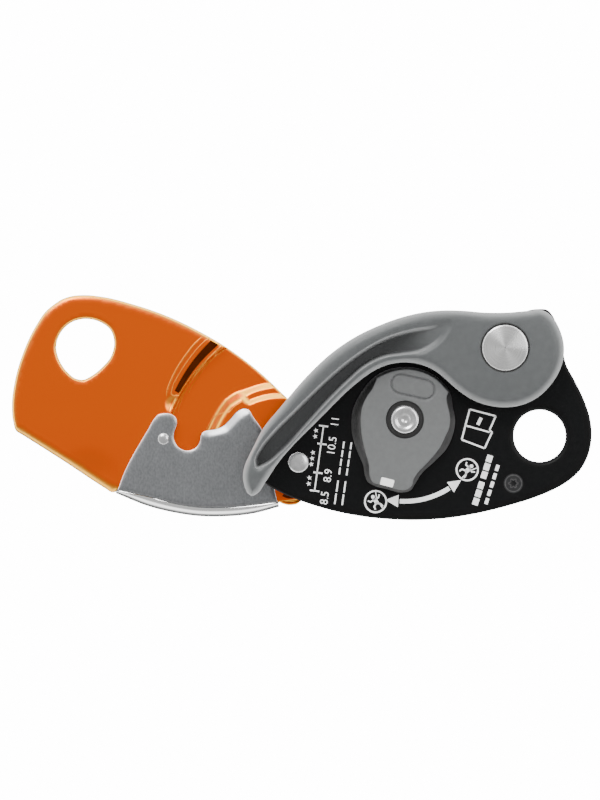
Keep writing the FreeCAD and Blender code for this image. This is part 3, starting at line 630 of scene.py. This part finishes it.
# The step line: a slot drawn as a dark strip of painted shadow, with pressed lips on both sides, and fine
# edges round the rope channel.
SLOT_LEFT = ((-106.4, 30.9), (-109.9, 27.2), (-113.4, 22.7), (-116.2, 18.2), (-118.1, 14.6))
SLOT_RIGHT = ((-103.9, 29.6), (-107.9, 25.8), (-111.8, 21.3), (-114.8, 16.9), (-116.7, 13.8))
strip("step_slot", SLOT_LEFT, SLOT_RIGHT, slot_dark, "moving_side", "orange_anodised", shell_front)
LIP_LEFT = ((-106.8, 31.8), (-108.3, 30.7), (-112.9, 25.6), (-116.7, 19.9), (-118.9, 15.2),
            (-119.1, 13.4), (-116.8, 13.0))
LIP_OUTER = ((-108.6, 32.6), (-110.8, 30.6), (-115.0, 25.4), (-118.5, 19.6), (-120.4, 14.8),
             (-120.9, 11.8))
LIP_RIGHT = ((-102.8, 29.3), (-108.0, 24.1), (-112.3, 18.6), (-114.9, 14.2), (-116.2, 11.0),
             (-117.2, 7.8))
PAD_EDGE = ((-108.6, 0.5), (-107.1, 3.2), (-104.6, 6.6), (-102.5, 7.4), (-100.6, 7.6),
            (-98.4, 9.6), (-94.6, 12.0))
bead("step_lip_left", LIP_LEFT, 0.34, 0.12, orange, "moving_side", "orange_anodised",
     shell_front, 0)
bead("step_lip_outer", LIP_OUTER, 0.6, 0.16, orange, "moving_side", "orange_anodised", shell_front)
bead("step_lip_right", LIP_RIGHT, 0.42, 0.14, orange, "moving_side", "orange_anodised",
     shell_front, 0)
bead("channel_line", ((-103.5, 27.6), (-108.0, 22.6), (-111.8, 17.4), (-114.4, 12.6)), 0.3, 0.09, orange,
     "moving_side", "orange_anodised", shell_front)
bead("pad_edge", PAD_EDGE, 0.4, 0.14, orange, "moving_side", "orange_anodised", shell_front)

# ---------------------------------------------------------------- wear plate
W0 = low_y("wear_plate")
wear = smooth_loop((
    (-136.6, -17.7, 1), (-134.9, -13.0), (-126.5, 2.5), (-124.6, 5.7), (-123.5, 6.8),
    (-121.6, 7.3), (-119.5, 7.1), (-117.9, 6.1), (-117.3, 4.6), (-117.6, 3.0), (-118.3, 0.9),
    (-118.1, -1.8), (-116.4, -4.1), (-114.0, -4.8), (-111.6, -4.1), (-110.0, -2.2),
    (-109.6, -0.2), (-109.0, 1.1), (-107.7, 1.7), (-105.0, 2.1), (-102.5, 3.1),
    (-100.2, 5.2), (-97.6, 8.0), (-95.6, 8.9), (-94.1, 8.4), (-92.7, 6.3), (-89.8, 2.0),
    (-87.5, -6.0), (-85.4, -18.5), (-84.7, -21.6, 1), (-92.0, -22.6), (-103.2, -23.5),
    (-111.7, -23.2), (-118.4, -22.1), (-126.5, -19.9),
), 0.6)


# The upper edge is bent back along this line, up to the peak.
PEAK_LINE = np.array([(-107.0, 2.2), (-102.2, 3.3), (-98.2, 7.6), (-95.4, 9.2)])


def wear_front(p):
    bent = 0.9 * (1 - ramp(distance(p, PEAK_LINE, False), 0.2, 3.0))
    worn = 0.24 * (1 - ramp(distance(p, wear), 0.0, 0.8))
    return W0 + 0.02 + (bent + worn)


def wear_back(p):
    return np.full(len(p), W0 + 1.2)


wear_obj = sheet_piece("steel_wear_plate", [wear], [(0.25, 0.1)], wear_front, wear_back, 1.0)
dress(wear_obj, steel, "moving_side", "wear_steel")
RIVET_FRONT = low_y("wear_rivets")
RIVET_BACK = high_y("wear_rivets")
RIVETS = (("wear_rivet_outer", (-121.7, -1.0), RIVET_BACK),
          ("wear_rivet_inner", (-90.6, -6.0), L0 + 2.72))
for name, spot, tail in RIVETS:
    nail = sharpen(lathe(name, spot, (
        (0.0, RIVET_FRONT), (0.6, RIVET_FRONT + 0.04), (1.1, RIVET_FRONT + 0.13),
        (1.5, RIVET_FRONT + 0.28), (1.8, RIVET_FRONT + 0.5), (1.8, W0 + 0.1), (1.1, W0 + 0.1), (1.1, tail),
        (0.0, tail)), 48), 40)
    dress(nail, bright, "moving_side", "bright_steel", "wear_rivets")

# The lip: rolled back round the edge, widest in the middle.
BEND_LINE = ((-136.9, -17.8), (-126.5, -20.0), (-118.4, -22.1), (-111.7, -23.2), (-103.2, -23.5),
             (-92.0, -22.7), (-84.4, -21.7))
OUT_LINE = ((-137.3, -18.7), (-126.5, -23.0), (-118.4, -25.0), (-111.0, -26.1), (-103.2, -26.3),
            (-92.0, -25.2), (-84.2, -23.1))
LIP_RADIUS = 4.4
LIP_THICK = 1.1
n_lip = 90
bend, edge = spaced(BEND_LINE, n_lip, 0.5), spaced(OUT_LINE, n_lip, 0.5)
arc = 12
co = []
for layer in range(2):
    for k in range(n_lip):
        width = float(np.hypot(*(edge[k] - bend[k])))
        way = (edge[k] - bend[k]) / max(width, 1e-6)
        for m in range(arc + 1):
            t = math.pi / 2 * m / arc
            reach = width * math.sin(t) if layer == 0 else max(width - LIP_THICK, 0.05) * math.sin(t)
            deep = W0 + LIP_RADIUS - (LIP_RADIUS if layer == 0 else 3.2) * math.cos(t)
            spot = bend[k] + way * reach
            co.append((spot[0], deep, spot[1]))
faces = []
size = n_lip * (arc + 1)
for k in range(n_lip - 1):
    for m in range(arc):
        a, b = k * (arc + 1) + m, (k + 1) * (arc + 1) + m
        faces.append((a, a + 1, b + 1, b))
        faces.append((size + a, size + b, size + b + 1, size + a + 1))
    a, b = k * (arc + 1) + arc, (k + 1) * (arc + 1) + arc
    faces.append((a, size + a, size + b, b))
for k in (0, n_lip - 1):
    for m in range(arc):
        a = k * (arc + 1) + m
        face = (a, size + a, size + a + 1, a + 1)
        faces.append(face if k == 0 else face[::-1])
lip = sharpen(make("steel_lip", np.array(co) * MM, faces), 50)
dress(lip, lip_steel, "moving_side", "wear_steel", "wear_plate")
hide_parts("wear_plate")

# The orange sheet curls round the end of the lip.
CURL = ((-85.0, -19.4), (-83.6, -21.0), (-81.4, -21.8), (-78.8, -21.6), (-76.4, -20.8))
SHADOW_LOW = ((-83.2, -19.6), (-81.6, -20.3), (-79.6, -20.4))
SHADOW_HIGH = ((-82.6, -18.7), (-81.2, -19.1), (-79.6, -19.4))
bead("orange_curl", CURL, 1.5, 0.6, orange, "moving_side", "orange_anodised",
     lambda p: np.full(len(p), L0 + 0.7), 0.3)
strip("curl_shadow", SHADOW_LOW, SHADOW_HIGH, slot_dark, "moving_side", "orange_anodised",
      shell_front, 0.1, 12)

# ---------------------------------------------------------------- handle
H0 = low_y("handle_lever")
H1 = high_y("handle_lever")
handle = smooth_loop((
    (-93.0, -19.3), (-94.4, -18.2), (-95.3, -16.1), (-95.8, -13.3), (-95.3, -9.8),
    (-94.1, -6.9), (-92.4, -3.5), (-89.5, 2.1), (-83.7, 9.3), (-74.5, 20.0), (-67.2, 26.8),
    (-59.7, 31.9), (-52.3, 35.5), (-44.9, 38.2), (-38.7, 39.7), (-30.9, 40.5), (-25.2, 40.4),
    (-17.9, 39.8), (-10.7, 39.8), (-3.5, 40.4), (0.0, 40.7), (2.4, 39.7), (4.2, 38.0),
    (6.3, 34.3), (7.6, 29.6), (7.6, 26.0), (6.2, 21.0), (3.4, 16.5), (-0.6, 12.6), (-5.6, 10.1),
    (-11.3, 9.2), (-16.6, 9.8), (-21.5, 11.5), (-27.3, 15.4), (-30.2, 18.0), (-33.8, 20.9),
    (-38.1, 22.9), (-43.1, 23.7), (-48.9, 23.0), (-53.2, 21.2), (-57.5, 18.3), (-62.6, 14.0),
    (-68.4, 8.2), (-74.1, 2.5), (-79.2, -2.6), (-84.2, -8.4), (-88.5, -14.8), (-91.3, -18.6),
))
groove = smooth_loop((
    (-29.4, 35.9), (-35.9, 35.2), (-43.1, 33.8), (-50.4, 31.3), (-57.5, 27.3), (-64.7, 21.9),
    (-71.9, 15.4), (-79.2, 8.2), (-86.4, 1.0), (-89.9, -3.3), (-92.0, -8.4), (-91.4, -10.2),
    (-89.2, -9.6), (-82.7, -4.7), (-75.5, 3.2), (-68.4, 11.1), (-61.9, 17.6), (-56.1, 22.6),
    (-50.4, 25.3), (-44.6, 26.2), (-38.8, 27.0), (-34.5, 29.2), (-30.9, 32.8),
), 0.45)


GROOVE_DEPTH = 5.6
GROOVE_RAMP = (-52.0, -30.0)
# Distances from the groove's outline at which the mesh gets extra points.
GROOVE_STEPS = (-1.45, -1.15, -0.9, -0.65, -0.45, -0.25, -0.05, 0.15, 0.35, 0.55, 0.75, 0.95,
                1.15, 1.35)


def handle_front(p):
    """Flat face with a groove that runs out to the right, and a head that falls away."""
    d = signed(p, groove)
    depth = GROOVE_DEPTH * (1 - ramp(p[:, 0], *GROOVE_RAMP)) + 0.15
    y = H0 + depth * ramp(d, -0.25, 1.1) + 0.45 * ramp(d, -1.5, 0.2)
    r = polar(p, HINGE)[0]
    return y + 0.75 * ramp(r, 7.0, 19.0) * ramp(p[:, 0], -32, -14)


def handle_back(p):
    return np.full(len(p), H1)


seat = ring_loop(HINGE, 7.9, 0.6)
grip = sheet_piece("grey_handle", [handle, seat], [(3.2, 0.8), (0.25, 0.1)],
                   handle_front, handle_back, 1.0, beside(groove, GROOVE_STEPS))
# Painted shade: 1 inside the groove on the front face, fading out towards its shallow right end.
spots = np.array([(v.co.x / MM, v.co.z / MM) for v in grip.data.vertices])
front_side = np.array([v.co.y < (H1 - 0.9) * MM for v in grip.data.vertices])
deep = ramp(signed(spots, groove), 0.0, 1.3) * (1 - ramp(spots[:, 0], -44.0, -33.0)) * front_side
grip.data.attributes.new("deep", "FLOAT", "POINT").data.foreach_set("value", deep.astype(np.float32))
dress(grip, grey, "handle_group", "grey_plastic", "handle_lever")

A0, A1 = low_y("handle_axle"), high_y("handle_axle")
disc = lathe("spun_head", HINGE, (
    (0.15, A0 + 0.02), (6.8, A0 + 0.02), (7.1, A0 + 0.1), (7.35, A0 + 0.35), (7.35, A0 + 1.8),
    (5.0, A0 + 1.8), (5.0, A1), (0.15, A1)), 180)
turning = disc.data.uv_layers.new(name="turning")
for face in disc.data.polygons:
    for corner, vertex in zip(face.loop_indices, face.vertices):
        k, i = divmod(vertex, 8)
        if k == 0 and max(v // 8 for v in face.vertices) == 179:
            k = 180
        turning.data[corner].uv = (k / 180, i / 8)
sharpen(disc, 40)
dress(disc, spun, "handle_group", "bright_steel", "handle_axle")
head_ring = sharpen(lathe("head_ring", HINGE, (
    (7.3, H0 - 0.1), (7.75, H0 - 0.15), (7.9, H0 + 0.1), (7.9, H0 + 1.6), (7.3, H0 + 1.6),
    (7.3, H0 - 0.1))), 40)
dress(head_ring, soot, "handle_group", "black_plastic", "handle_ring")

# ---------------------------------------------------------------- knob
K0 = low_y("mode_knob")
K1 = low_y("knob_skirt")
K2 = high_y("knob_skirt")
face_loop = smooth_loop((
    (-52.6, 18.7, 1), (-49.0, 20.4), (-44.0, 21.5), (-38.5, 20.8), (-33.4, 18.2), (-29.5, 14.2, 1),
    (-30.1, 12.6), (-29.9, 10.4), (-29.2, 7.4), (-29.0, 4.6), (-29.5, 2.0), (-30.3, 0.4),
    (-32.4, -3.8), (-36.7, -9.0), (-39.4, -11.8), (-40.6, -13.6), (-41.5, -16.1), (-43.2, -17.3),
    (-46.0, -17.2), (-49.0, -16.2), (-52.2, -15.5), (-53.8, -15.0), (-54.8, -13.3),
    (-55.2, -9.3), (-56.5, -4.6), (-57.5, 0.0), (-57.9, 5.0), (-57.3, 9.6), (-55.9, 12.7),
    (-54.5, 14.6),
), 0.5)
skirt_loop = smooth_loop((
    (-53.6, 18.9), (-49.4, 21.3), (-44.0, 22.3), (-38.0, 21.5), (-32.4, 18.4), (-29.0, 14.2),
    (-28.1, 9.6), (-27.3, 5.0), (-28.0, 0.6), (-30.3, -4.4), (-33.6, -7.9), (-38.3, -12.4),
    (-40.2, -15.4), (-41.6, -17.5), (-44.4, -18.3), (-49.4, -17.2), (-53.2, -16.2), (-55.6, -14.8),
    (-56.5, -12.7), (-57.1, -9.3), (-58.7, -5.6), (-60.5, 0.0), (-60.9, 4.6), (-60.3, 8.8),
    (-58.4, 12.9), (-56.0, 16.4),
), 0.6)


face_bore = ring_loop(CAM, 6.1, 0.5)
base_bore = ring_loop(CAM, 4.1, 0.5)


def leaning(degrees):
    """Unit vectors along and across a leaning mark."""
    a = math.radians(degrees)
    along = np.array([math.cos(a), math.sin(a)])
    return along, np.array([-along[1], along[0]])


# An empty long-round groove, cut where the real knob has a name.
PLAQUE = np.array([-41.0, 16.0])
PLAQUE_END = 3.1
along, across = leaning(-13)
plaque = []
for end in (1, -1):
    for a in np.radians(np.arange(-90, 91, 10)):
        out = along * (4.0 + PLAQUE_END * math.cos(a)) + across * PLAQUE_END * math.sin(a)
        plaque.append(PLAQUE + end * out)
    for t in np.linspace(3.6, -3.6, 19):
        plaque.append(PLAQUE + end * (along * t + across * PLAQUE_END))
plaque = np.array(plaque)


def plaque_front(p):
    d = np.abs(signed(p, plaque))
    return K0 + 0.55 * (1 - ramp(d, 0.12, 0.4))


cap = sheet_piece("knob_face", [face_loop, face_bore], [(0.35, 0.0), (0.25, 0.0)], plaque_front,
                  lambda p: np.full(len(p), K1), 0.9,
                  beside(plaque, (-0.45, -0.3, -0.15, 0.0, 0.15, 0.3, 0.45)))
dress(cap, pale_grey, "knob_group", "knob_plastic", "mode_knob")


def skirt_front(p):
    return K0 + 0.9 + (K2 - K0 - 1.4) * (1 - ramp(signed(p, skirt_loop), -0.2, 3.0))


# The sloping side of the knob, in the darker grey of painted shade.
base = sheet_piece("knob_base", [skirt_loop, base_bore], [(0.3, 0.0), (0.0, 0.0)], skirt_front,
                   lambda p: np.full(len(p), K2), 0.7)
dress(base, skirt_grey, "knob_group", "black_plastic", "knob_skirt")

INDEX = np.array([-49.3, -14.9])
along, across = leaning(-14)
BAR_CORNERS = ((-2.2, -1.0), (-1.95, -1.25), (1.95, -1.25), (2.2, -1.0), (2.2, 1.0), (1.95, 1.25),
               (-1.95, 1.25), (-2.2, 1.0))
bar_loop = smooth_loop([(*(INDEX + along * a + across * b), 1) for a, b in BAR_CORNERS], 0.5)
bar = sheet_piece("index_bar", [bar_loop], [(0.2, 0.0)], lambda p: np.full(len(p), K0 - 0.06),
                  lambda p: np.full(len(p), high_y("knob_index")), 0.5)
dress(bar, white, "knob_group", "white_plastic", "knob_index")

# ---------------------------------------------------------------- fixed plate
P0 = low_y("fixed_plate")
P1 = high_y("fixed_plate")
body_loop = smooth_loop((
    (-88.5, -15.3), (-84.9, -17.6), (-80.9, -19.5), (-69.7, -23.4), (-59.4, -25.7), (-49.0, -26.9),
    (-41.3, -27.2), (-31.0, -26.7), (-20.6, -25.1), (-10.3, -22.6), (0.0, -19.3), (5.2, -17.0),
    (10.3, -13.8), (13.2, -10.9), (15.5, -6.7), (16.8, -0.3), (16.4, 5.1), (14.6, 11.0),
    (11.2, 18.1), (8.6, 23.0), (7.4, 28.0), (5.9, 34.0), (4.3, 38.7), (2.5, 40.7), (-0.6, 41.0),
    (-8.0, 39.4), (-20.0, 38.2), (-34.0, 36.2), (-48.0, 33.6), (-59.6, 29.8), (-67.0, 22.8),
    (-74.4, 14.2), (-80.3, 5.8), (-85.8, -3.0),
    (-89.0, -11.0), (-89.6, -13.8),
))
holes = [ring_loop((0.0, 0.0), 8.4, 0.6)]
rims = [(0.9, 0.6), (1.5, 0.9)]
BORES = (("cam_axle", 4.0), ("pivot_rivet", 3.0), ("handle_bush", 6.0), ("lock_screw", 3.15))
for node, radius in BORES:
    c = centre(node)
    holes.append(ring_loop((c[0], c[2]), radius, 0.5))
    rims.append((0.1, 0.1))
# The back lies a hair under the ends of the pins, so that they show.
PIN_SHOW = 0.03
black_side = sheet_piece("black_plate", [body_loop] + holes, rims, lambda p: np.full(len(p), P0),
                         lambda p: np.full(len(p), P1 - PIN_SHOW), 1.4)
dress(black_side, black, "fixed_side", "black_coat", "fixed_plate")

# ---------------------------------------------------------------- rivets and axle head
HEAD = low_y("cam_axle")
axle = sharpen(lathe("axle_with_head", CAM, (
    (0.0, HEAD + 0.55), (0.7, HEAD + 0.5), (1.0, HEAD + 0.3), (1.5, HEAD + 0.3), (1.8, HEAD + 0.42),
    (2.5, HEAD + 0.4), (2.9, HEAD + 0.12), (3.3, HEAD), (3.9, HEAD + 0.05), (4.35, HEAD + 0.4),
    (4.7, HEAD + 0.95), (4.7, HEAD + 1.3), (4.0, HEAD + 1.3), (4.0, 13.7), (3.6, 13.7), (3.6, 16.1),
    (5.1, 16.1), (5.1, 17.6), (4.7, 18.2), (4.1, 18.6), (0.0, 18.6))), 40)
dress(axle, bright, "fixed_side", "bright_steel", "cam_axle")
PIVOT_HEAD = low_y("pivot_rivet")
rivet = sharpen(lathe("pivot_with_head", PIVOT, (
    (0.0, PIVOT_HEAD), (1.2, PIVOT_HEAD + 0.04), (2.2, PIVOT_HEAD + 0.16), (2.9, PIVOT_HEAD + 0.4),
    (3.3, PIVOT_HEAD + 0.75), (3.45, PIVOT_HEAD + 1.1), (3.45, PIVOT_HEAD + 1.3),
    (3.0, PIVOT_HEAD + 1.3), (3.0, 19.0), (4.6, 19.0), (4.6, 19.7), (4.2, 20.2), (3.4, 20.5),
    (0.0, 20.5))), 40)
dress(rivet, bright, "fixed_side", "bright_steel", "pivot_rivet")

# ---------------------------------------------------------------- printed marks
INK = P0 - 0.02


def ribbon(name, chain, width, mat=ink, depth=INK, slot="white_plastic"):
    """Flat printed line along a chain of points."""
    chain = np.array(chain, dtype=float)
    way = np.gradient(chain, axis=0)
    way /= np.hypot(way[:, 0], way[:, 1])[:, None]
    side = np.stack([-way[:, 1], way[:, 0]], 1) * width / 2
    n = len(chain)
    co = [(p[0], depth, p[1]) for p in chain + side] + [(p[0], depth, p[1]) for p in chain - side]
    faces = [(i, i + n, i + n + 1, i + 1) for i in range(n - 1)]
    return dress(make(name, np.array(co) * MM, faces, False), mat, "fixed_side", slot)


def patch(name, points):
    """Flat printed polygon."""
    co = [(x, INK, z) for x, z in points]
    return dress(make(name, np.array(co) * MM, [tuple(range(len(points)))], False), ink,
                 "fixed_side", "white_plastic")


def arc_chain(middle, radius, low, high, n=40):
    a = np.radians(np.linspace(low, high, n))
    return np.stack([middle[0] + radius * np.cos(a), middle[1] + radius * np.sin(a)], 1)


# The scale of rope diameters: a line with four ticks, stars between them and a number at each.
SCALE_LOW, SCALE_HIGH = (-72.7, -17.7), (-69.8, 3.2)
ribbon("scale_line", [SCALE_LOW, SCALE_HIGH], 0.42)
for k, (x, z) in enumerate((SCALE_LOW, (-71.6, -11.9), (-70.3, -2.6), SCALE_HIGH)):
    ribbon("scale_tick_%d" % k, [(x - 1.5, z + 0.2), (x + 1.5, z - 0.2)], 0.5)


def star(name, x, z, size=0.85):
    points = []
    for k in range(10):
        a = math.radians(36 * k + 172)
        r = size if k % 2 == 0 else size * 0.42
        points.append((x + r * math.cos(a), z + r * math.sin(a)))
    patch(name, points)


for k, t in enumerate((0.10, 0.19, 0.40, 0.49, 0.58, 0.83, 0.92)):
    star("star_%d" % k, -72.7 + 2.9 * t - 2.2, -17.7 + 20.9 * t + 0.2)


def figure(name, text, x, z, size, turn):
    """Printed number, turned by an angle in degrees."""
    curve = bpy.data.curves.new(name, "FONT")
    curve.body = text
    curve.size = size * MM
    curve.align_x = "CENTER"
    curve.align_y = "CENTER"
    curve.resolution_u = 3
    text_obj = bpy.data.objects.new(name + "_text", curve)
    bpy.context.scene.collection.objects.link(text_obj)
    dg = bpy.context.evaluated_depsgraph_get()
    mesh = bpy.data.meshes.new_from_object(text_obj.evaluated_get(dg))
    bpy.data.objects.remove(text_obj)
    a = math.radians(turn)
    for v in mesh.vertices:
        u, w = v.co.x, v.co.y
        v.co = (x * MM + u * math.cos(a) - w * math.sin(a), INK * MM,
                z * MM + u * math.sin(a) + w * math.cos(a))
    obj = bpy.data.objects.new(name, mesh)
    bpy.context.scene.collection.objects.link(obj)
    mesh.materials.clear()
    return dress(obj, ink, "fixed_side", "white_plastic")


for name, text, x, z in (("size_a", "8.5", -69.4, -20.0), ("size_b", "8.9", -68.3, -12.8),
                         ("size_c", "10.5", -67.0, -3.2), ("size_d", "11", -66.0, 4.6)):
    figure(name, text, x, z, 3.6, 82)

# Six-lobed recess and turned rim of the screw, as pale grey lines: painted highlights on their edges.
SCREW = centre("lock_screw")
screw_spot = (SCREW[0], SCREW[2])
screw_front = low_y("lock_screw") - 0.03
ribbon("screw_rim", arc_chain(screw_spot, 2.65, 0, 360, 60), 0.3, rim_grey, screw_front,
       slot="black_steel")
lobes = []
for a in np.linspace(0, 2 * math.pi, 73):
    reach = 1.25 + 0.3 * math.cos(6 * a)
    lobes.append((screw_spot[0] + reach * math.cos(a), screw_spot[1] + reach * math.sin(a)))
ribbon("screw_recess", lobes, 0.3, rim_grey, screw_front, slot="black_steel")

# Double-headed arrow between the two knob positions.
ARROW_RADIUS = 26.4
ribbon("mode_arrow", arc_chain(CAM, ARROW_RADIUS, 266.5, 303.0), 1.45)
for name, bearing, way in (("arrow_low", 265.5, -1), ("arrow_high", 304.0, 1)):
    mid = arc_chain(CAM, ARROW_RADIUS, bearing, bearing, 1)[0]
    out = np.array([math.cos(math.radians(bearing)), math.sin(math.radians(bearing))])
    along = np.array([-out[1], out[0]]) * way
    patch(name, [tuple(mid + out * 2.0), tuple(mid + along * 4.2), tuple(mid - out * 2.0)][::way])

# Two round symbols: a plain figure with a stroke, one for each knob position.
def placed(x, z, lean, points):
    """Points of a mark, turned by an angle in degrees and moved to its place."""
    c, s = math.cos(math.radians(lean)), math.sin(math.radians(lean))
    return [(x + u * c - w * s, z + u * s + w * c) for u, w in points]


LIMBS = (("trunk", ((-0.2, 1.1), (0.1, -0.6)), 1.0),
         ("leg_a", ((0.1, -0.5), (-1.0, -1.4), (-0.9, -2.4)), 0.55),
         ("leg_b", ((0.1, -0.5), (1.2, -1.2), (1.7, -2.2)), 0.55),
         ("arm_a", ((-0.2, 0.9), (-1.6, 0.4), (-2.2, 1.1)), 0.5),
         ("arm_b", ((-0.2, 0.9), (1.3, 0.9), (1.9, 1.8)), 0.5),
         ("rope", ((1.1, 3.2), (0.6, 0.2), (1.5, -3.1)), 0.3))
for name, x, z, lean in (("symbol_low", -53.0, -21.2, 20), ("symbol_high", -23.4, -10.9, -60)):
    ribbon(name + "_ring", arc_chain((x, z), 3.45, 0, 360, 49), 0.55)
    head = [(-0.3 + 0.62 * math.cos(k * math.pi / 4), 1.75 + 0.62 * math.sin(k * math.pi / 4))
            for k in range(8)]
    patch(name + "_dot", placed(x, z, lean, head))
    for limb, points, width in LIMBS:
        ribbon(name + "_" + limb, placed(x, z, lean, points), width)

# Open booklet outline with a blank page.
book = [(-22.6, 8.6), (-14.2, 6.4), (-16.2, 1.9), (-15.4, 1.2), (-17.8, -4.0), (-25.2, -1.2),
        (-24.0, 3.4), (-22.6, 8.6)]
for k in range(len(book) - 1):
    ribbon("booklet_%d" % k, [book[k], book[k + 1]], 0.55)
ribbon("booklet_fold", [(-24.0, 3.4), (-16.2, 1.2)], 0.5)
ribbon("booklet_mark", [(-20.0, 3.6), (-18.9, 5.9)], 1.1)

# Blank bars where the real one has approval text.
BARS = ((0.0, 3.4), (0.2, 3.6), (0.48, 2.2), (0.62, 2.2), (0.76, 2.2), (0.9, 2.2))
for k, (t, long) in enumerate(BARS):
    x, z = -64.6 + 3.0 * t, -22.0 + 20.0 * t
    ribbon("approval_bar_%d" % k, [(x - 1.6, z), (x - 1.6 + 0.14 * long, z + long)], 0.5)
    ribbon("approval_bar2_%d" % k, [(x + 0.8, z - 0.3), (x + 0.8 + 0.14 * long, z - 0.3 + long)], 0.5)
for k, t in enumerate((0.0, 0.16, 0.32, 0.52, 0.68, 0.84)):
    x, z = -21.0 + 5.2 * t, -22.3 + 16.5 * t
    ribbon("standard_bar_%d" % k, [(x, z), (x + 0.72, z + 2.2)], 1.9)
for k, t in enumerate((0.0, 0.2, 0.4, 0.6, 0.8)):
    x, z = -17.4 + 4.2 * t, -22.0 + 13.4 * t
    ribbon("note_bar_%d" % k, [(x, z), (x + 0.6, z + 1.9)], 1.1)

# ---------------------------------------------------------------- camera, light, stage
scene = bpy.context.scene
# The studio: dim behind and before the object, bright round its sides, brighter from above.
world = bpy.data.worlds.new("studio")
scene.world = world
world.use_nodes = True
wt = world.node_tree
sky = wt.nodes["Background"]
sky.inputs["Color"].default_value = (1, 1, 1, 1)
coord = wt.nodes.new("ShaderNodeTexCoord")
split = wt.nodes.new("ShaderNodeSeparateXYZ")
wt.links.new(coord.outputs["Generated"], split.inputs["Vector"])
lift = wt.nodes.new("ShaderNodeMapRange")
lift.inputs["From Min"].default_value = -1.0
lift.inputs["From Max"].default_value = 1.0
wt.links.new(split.outputs["Y"], lift.inputs["Value"])
fade = wt.nodes.new("ShaderNodeFloatCurve")
curve = fade.mapping.curves[0]
curve.points[0].location = (0.0, 0.20)
curve.points[1].location = (1.0, 0.15)
SIDE_GLOW = ((0.10, 0.210), (0.21, 0.235), (0.29, 0.44), (0.39, 1.0), (0.61, 1.0), (0.71, 0.36),
             (0.80, 0.18))
for spot in SIDE_GLOW:
    curve.points.new(*spot)
fade.mapping.update()
wt.links.new(lift.outputs["Result"], fade.inputs["Value"])
above = wt.nodes.new("ShaderNodeMapRange")
above.inputs["From Min"].default_value = -0.6
above.inputs["From Max"].default_value = 0.8
above.inputs["To Min"].default_value = 2.7
above.inputs["To Max"].default_value = 4.2
wt.links.new(split.outputs["Z"], above.inputs["Value"])
both = wt.nodes.new("ShaderNodeMath")
both.operation = "MULTIPLY"
wt.links.new(fade.outputs["Value"], both.inputs[0])
wt.links.new(above.outputs["Result"], both.inputs[1])
wt.links.new(both.outputs["Value"], sky.inputs["Strength"])

cam_data = bpy.data.cameras.new("photo_camera")
cam_obj = bpy.data.objects.new("photo_camera", cam_data)
scene.collection.objects.link(cam_obj)
scene.camera = cam_obj
# The camera looks straight at the plates, with the photograph's framing, in mm at their plane.
VIEW_MIDDLE = (-77.4, 11.6)
VIEW_HEIGHT = 258.06
VIEW_DISTANCE = 3.0
FACE_PLANE = -0.004
cam_obj.location = (VIEW_MIDDLE[0] * MM, -VIEW_DISTANCE, VIEW_MIDDLE[1] * MM)
cam_obj.rotation_euler = (math.pi / 2, 0, 0)
cam_data.sensor_fit = "VERTICAL"
cam_data.sensor_height = 24.0
cam_data.lens = cam_data.sensor_height * (VIEW_DISTANCE + FACE_PLANE) / (VIEW_HEIGHT * MM)
cam_data.clip_start = 0.01


def area(name, place, aim, size, power):
    data = bpy.data.lights.new(name, "AREA")
    data.shape = "RECTANGLE"
    data.size, data.size_y = size
    data.energy = power
    obj = bpy.data.objects.new(name, data)
    scene.collection.objects.link(obj)
    obj.location = place
    obj.rotation_euler = (Vector(aim) - Vector(place)).to_track_quat("-Z", "Y").to_euler()
    return obj


area("key", (-0.45, -0.9, 0.9), (-0.08, 0, 0), (0.6, 0.6), 14)
area("fill", (0.6, -0.9, 0.3), (-0.08, 0, 0), (0.5, 0.6), 4)


def glow(name, strength):
    """White paper lit from behind: mottled a little, as paper is."""
    mat, tree, bsdf = material(name, (0.9, 0.9, 0.9), 0.9)
    tint(tree, bsdf, noise(tree, 8), (0.9, 0.9, 0.9), (0.92, 0.92, 0.92))
    bsdf.inputs["Emission Color"].default_value = (1, 1, 1, 1)
    bsdf.inputs["Emission Strength"].default_value = strength
    return mat


bpy.ops.mesh.primitive_uv_sphere_add(segments=48, ring_count=24, radius=4.5)
paper = bpy.context.object
paper.name = "backdrop"
paper.data.materials.append(glow("lit_paper", 14.0))
for flag in ("visible_diffuse", "visible_glossy", "visible_transmission", "visible_shadow"):
    setattr(paper, flag, False)
HALF, DROP = 2.5, -0.6
floor_corners = [(-HALF, -HALF, DROP), (HALF, -HALF, DROP), (HALF, HALF, DROP), (-HALF, HALF, DROP)]
floor = make("floor", np.array(floor_corners), [(0, 1, 2, 3)], False)
floor.data.materials.append(glow("pale_floor", 0.1))
floor.visible_glossy = False
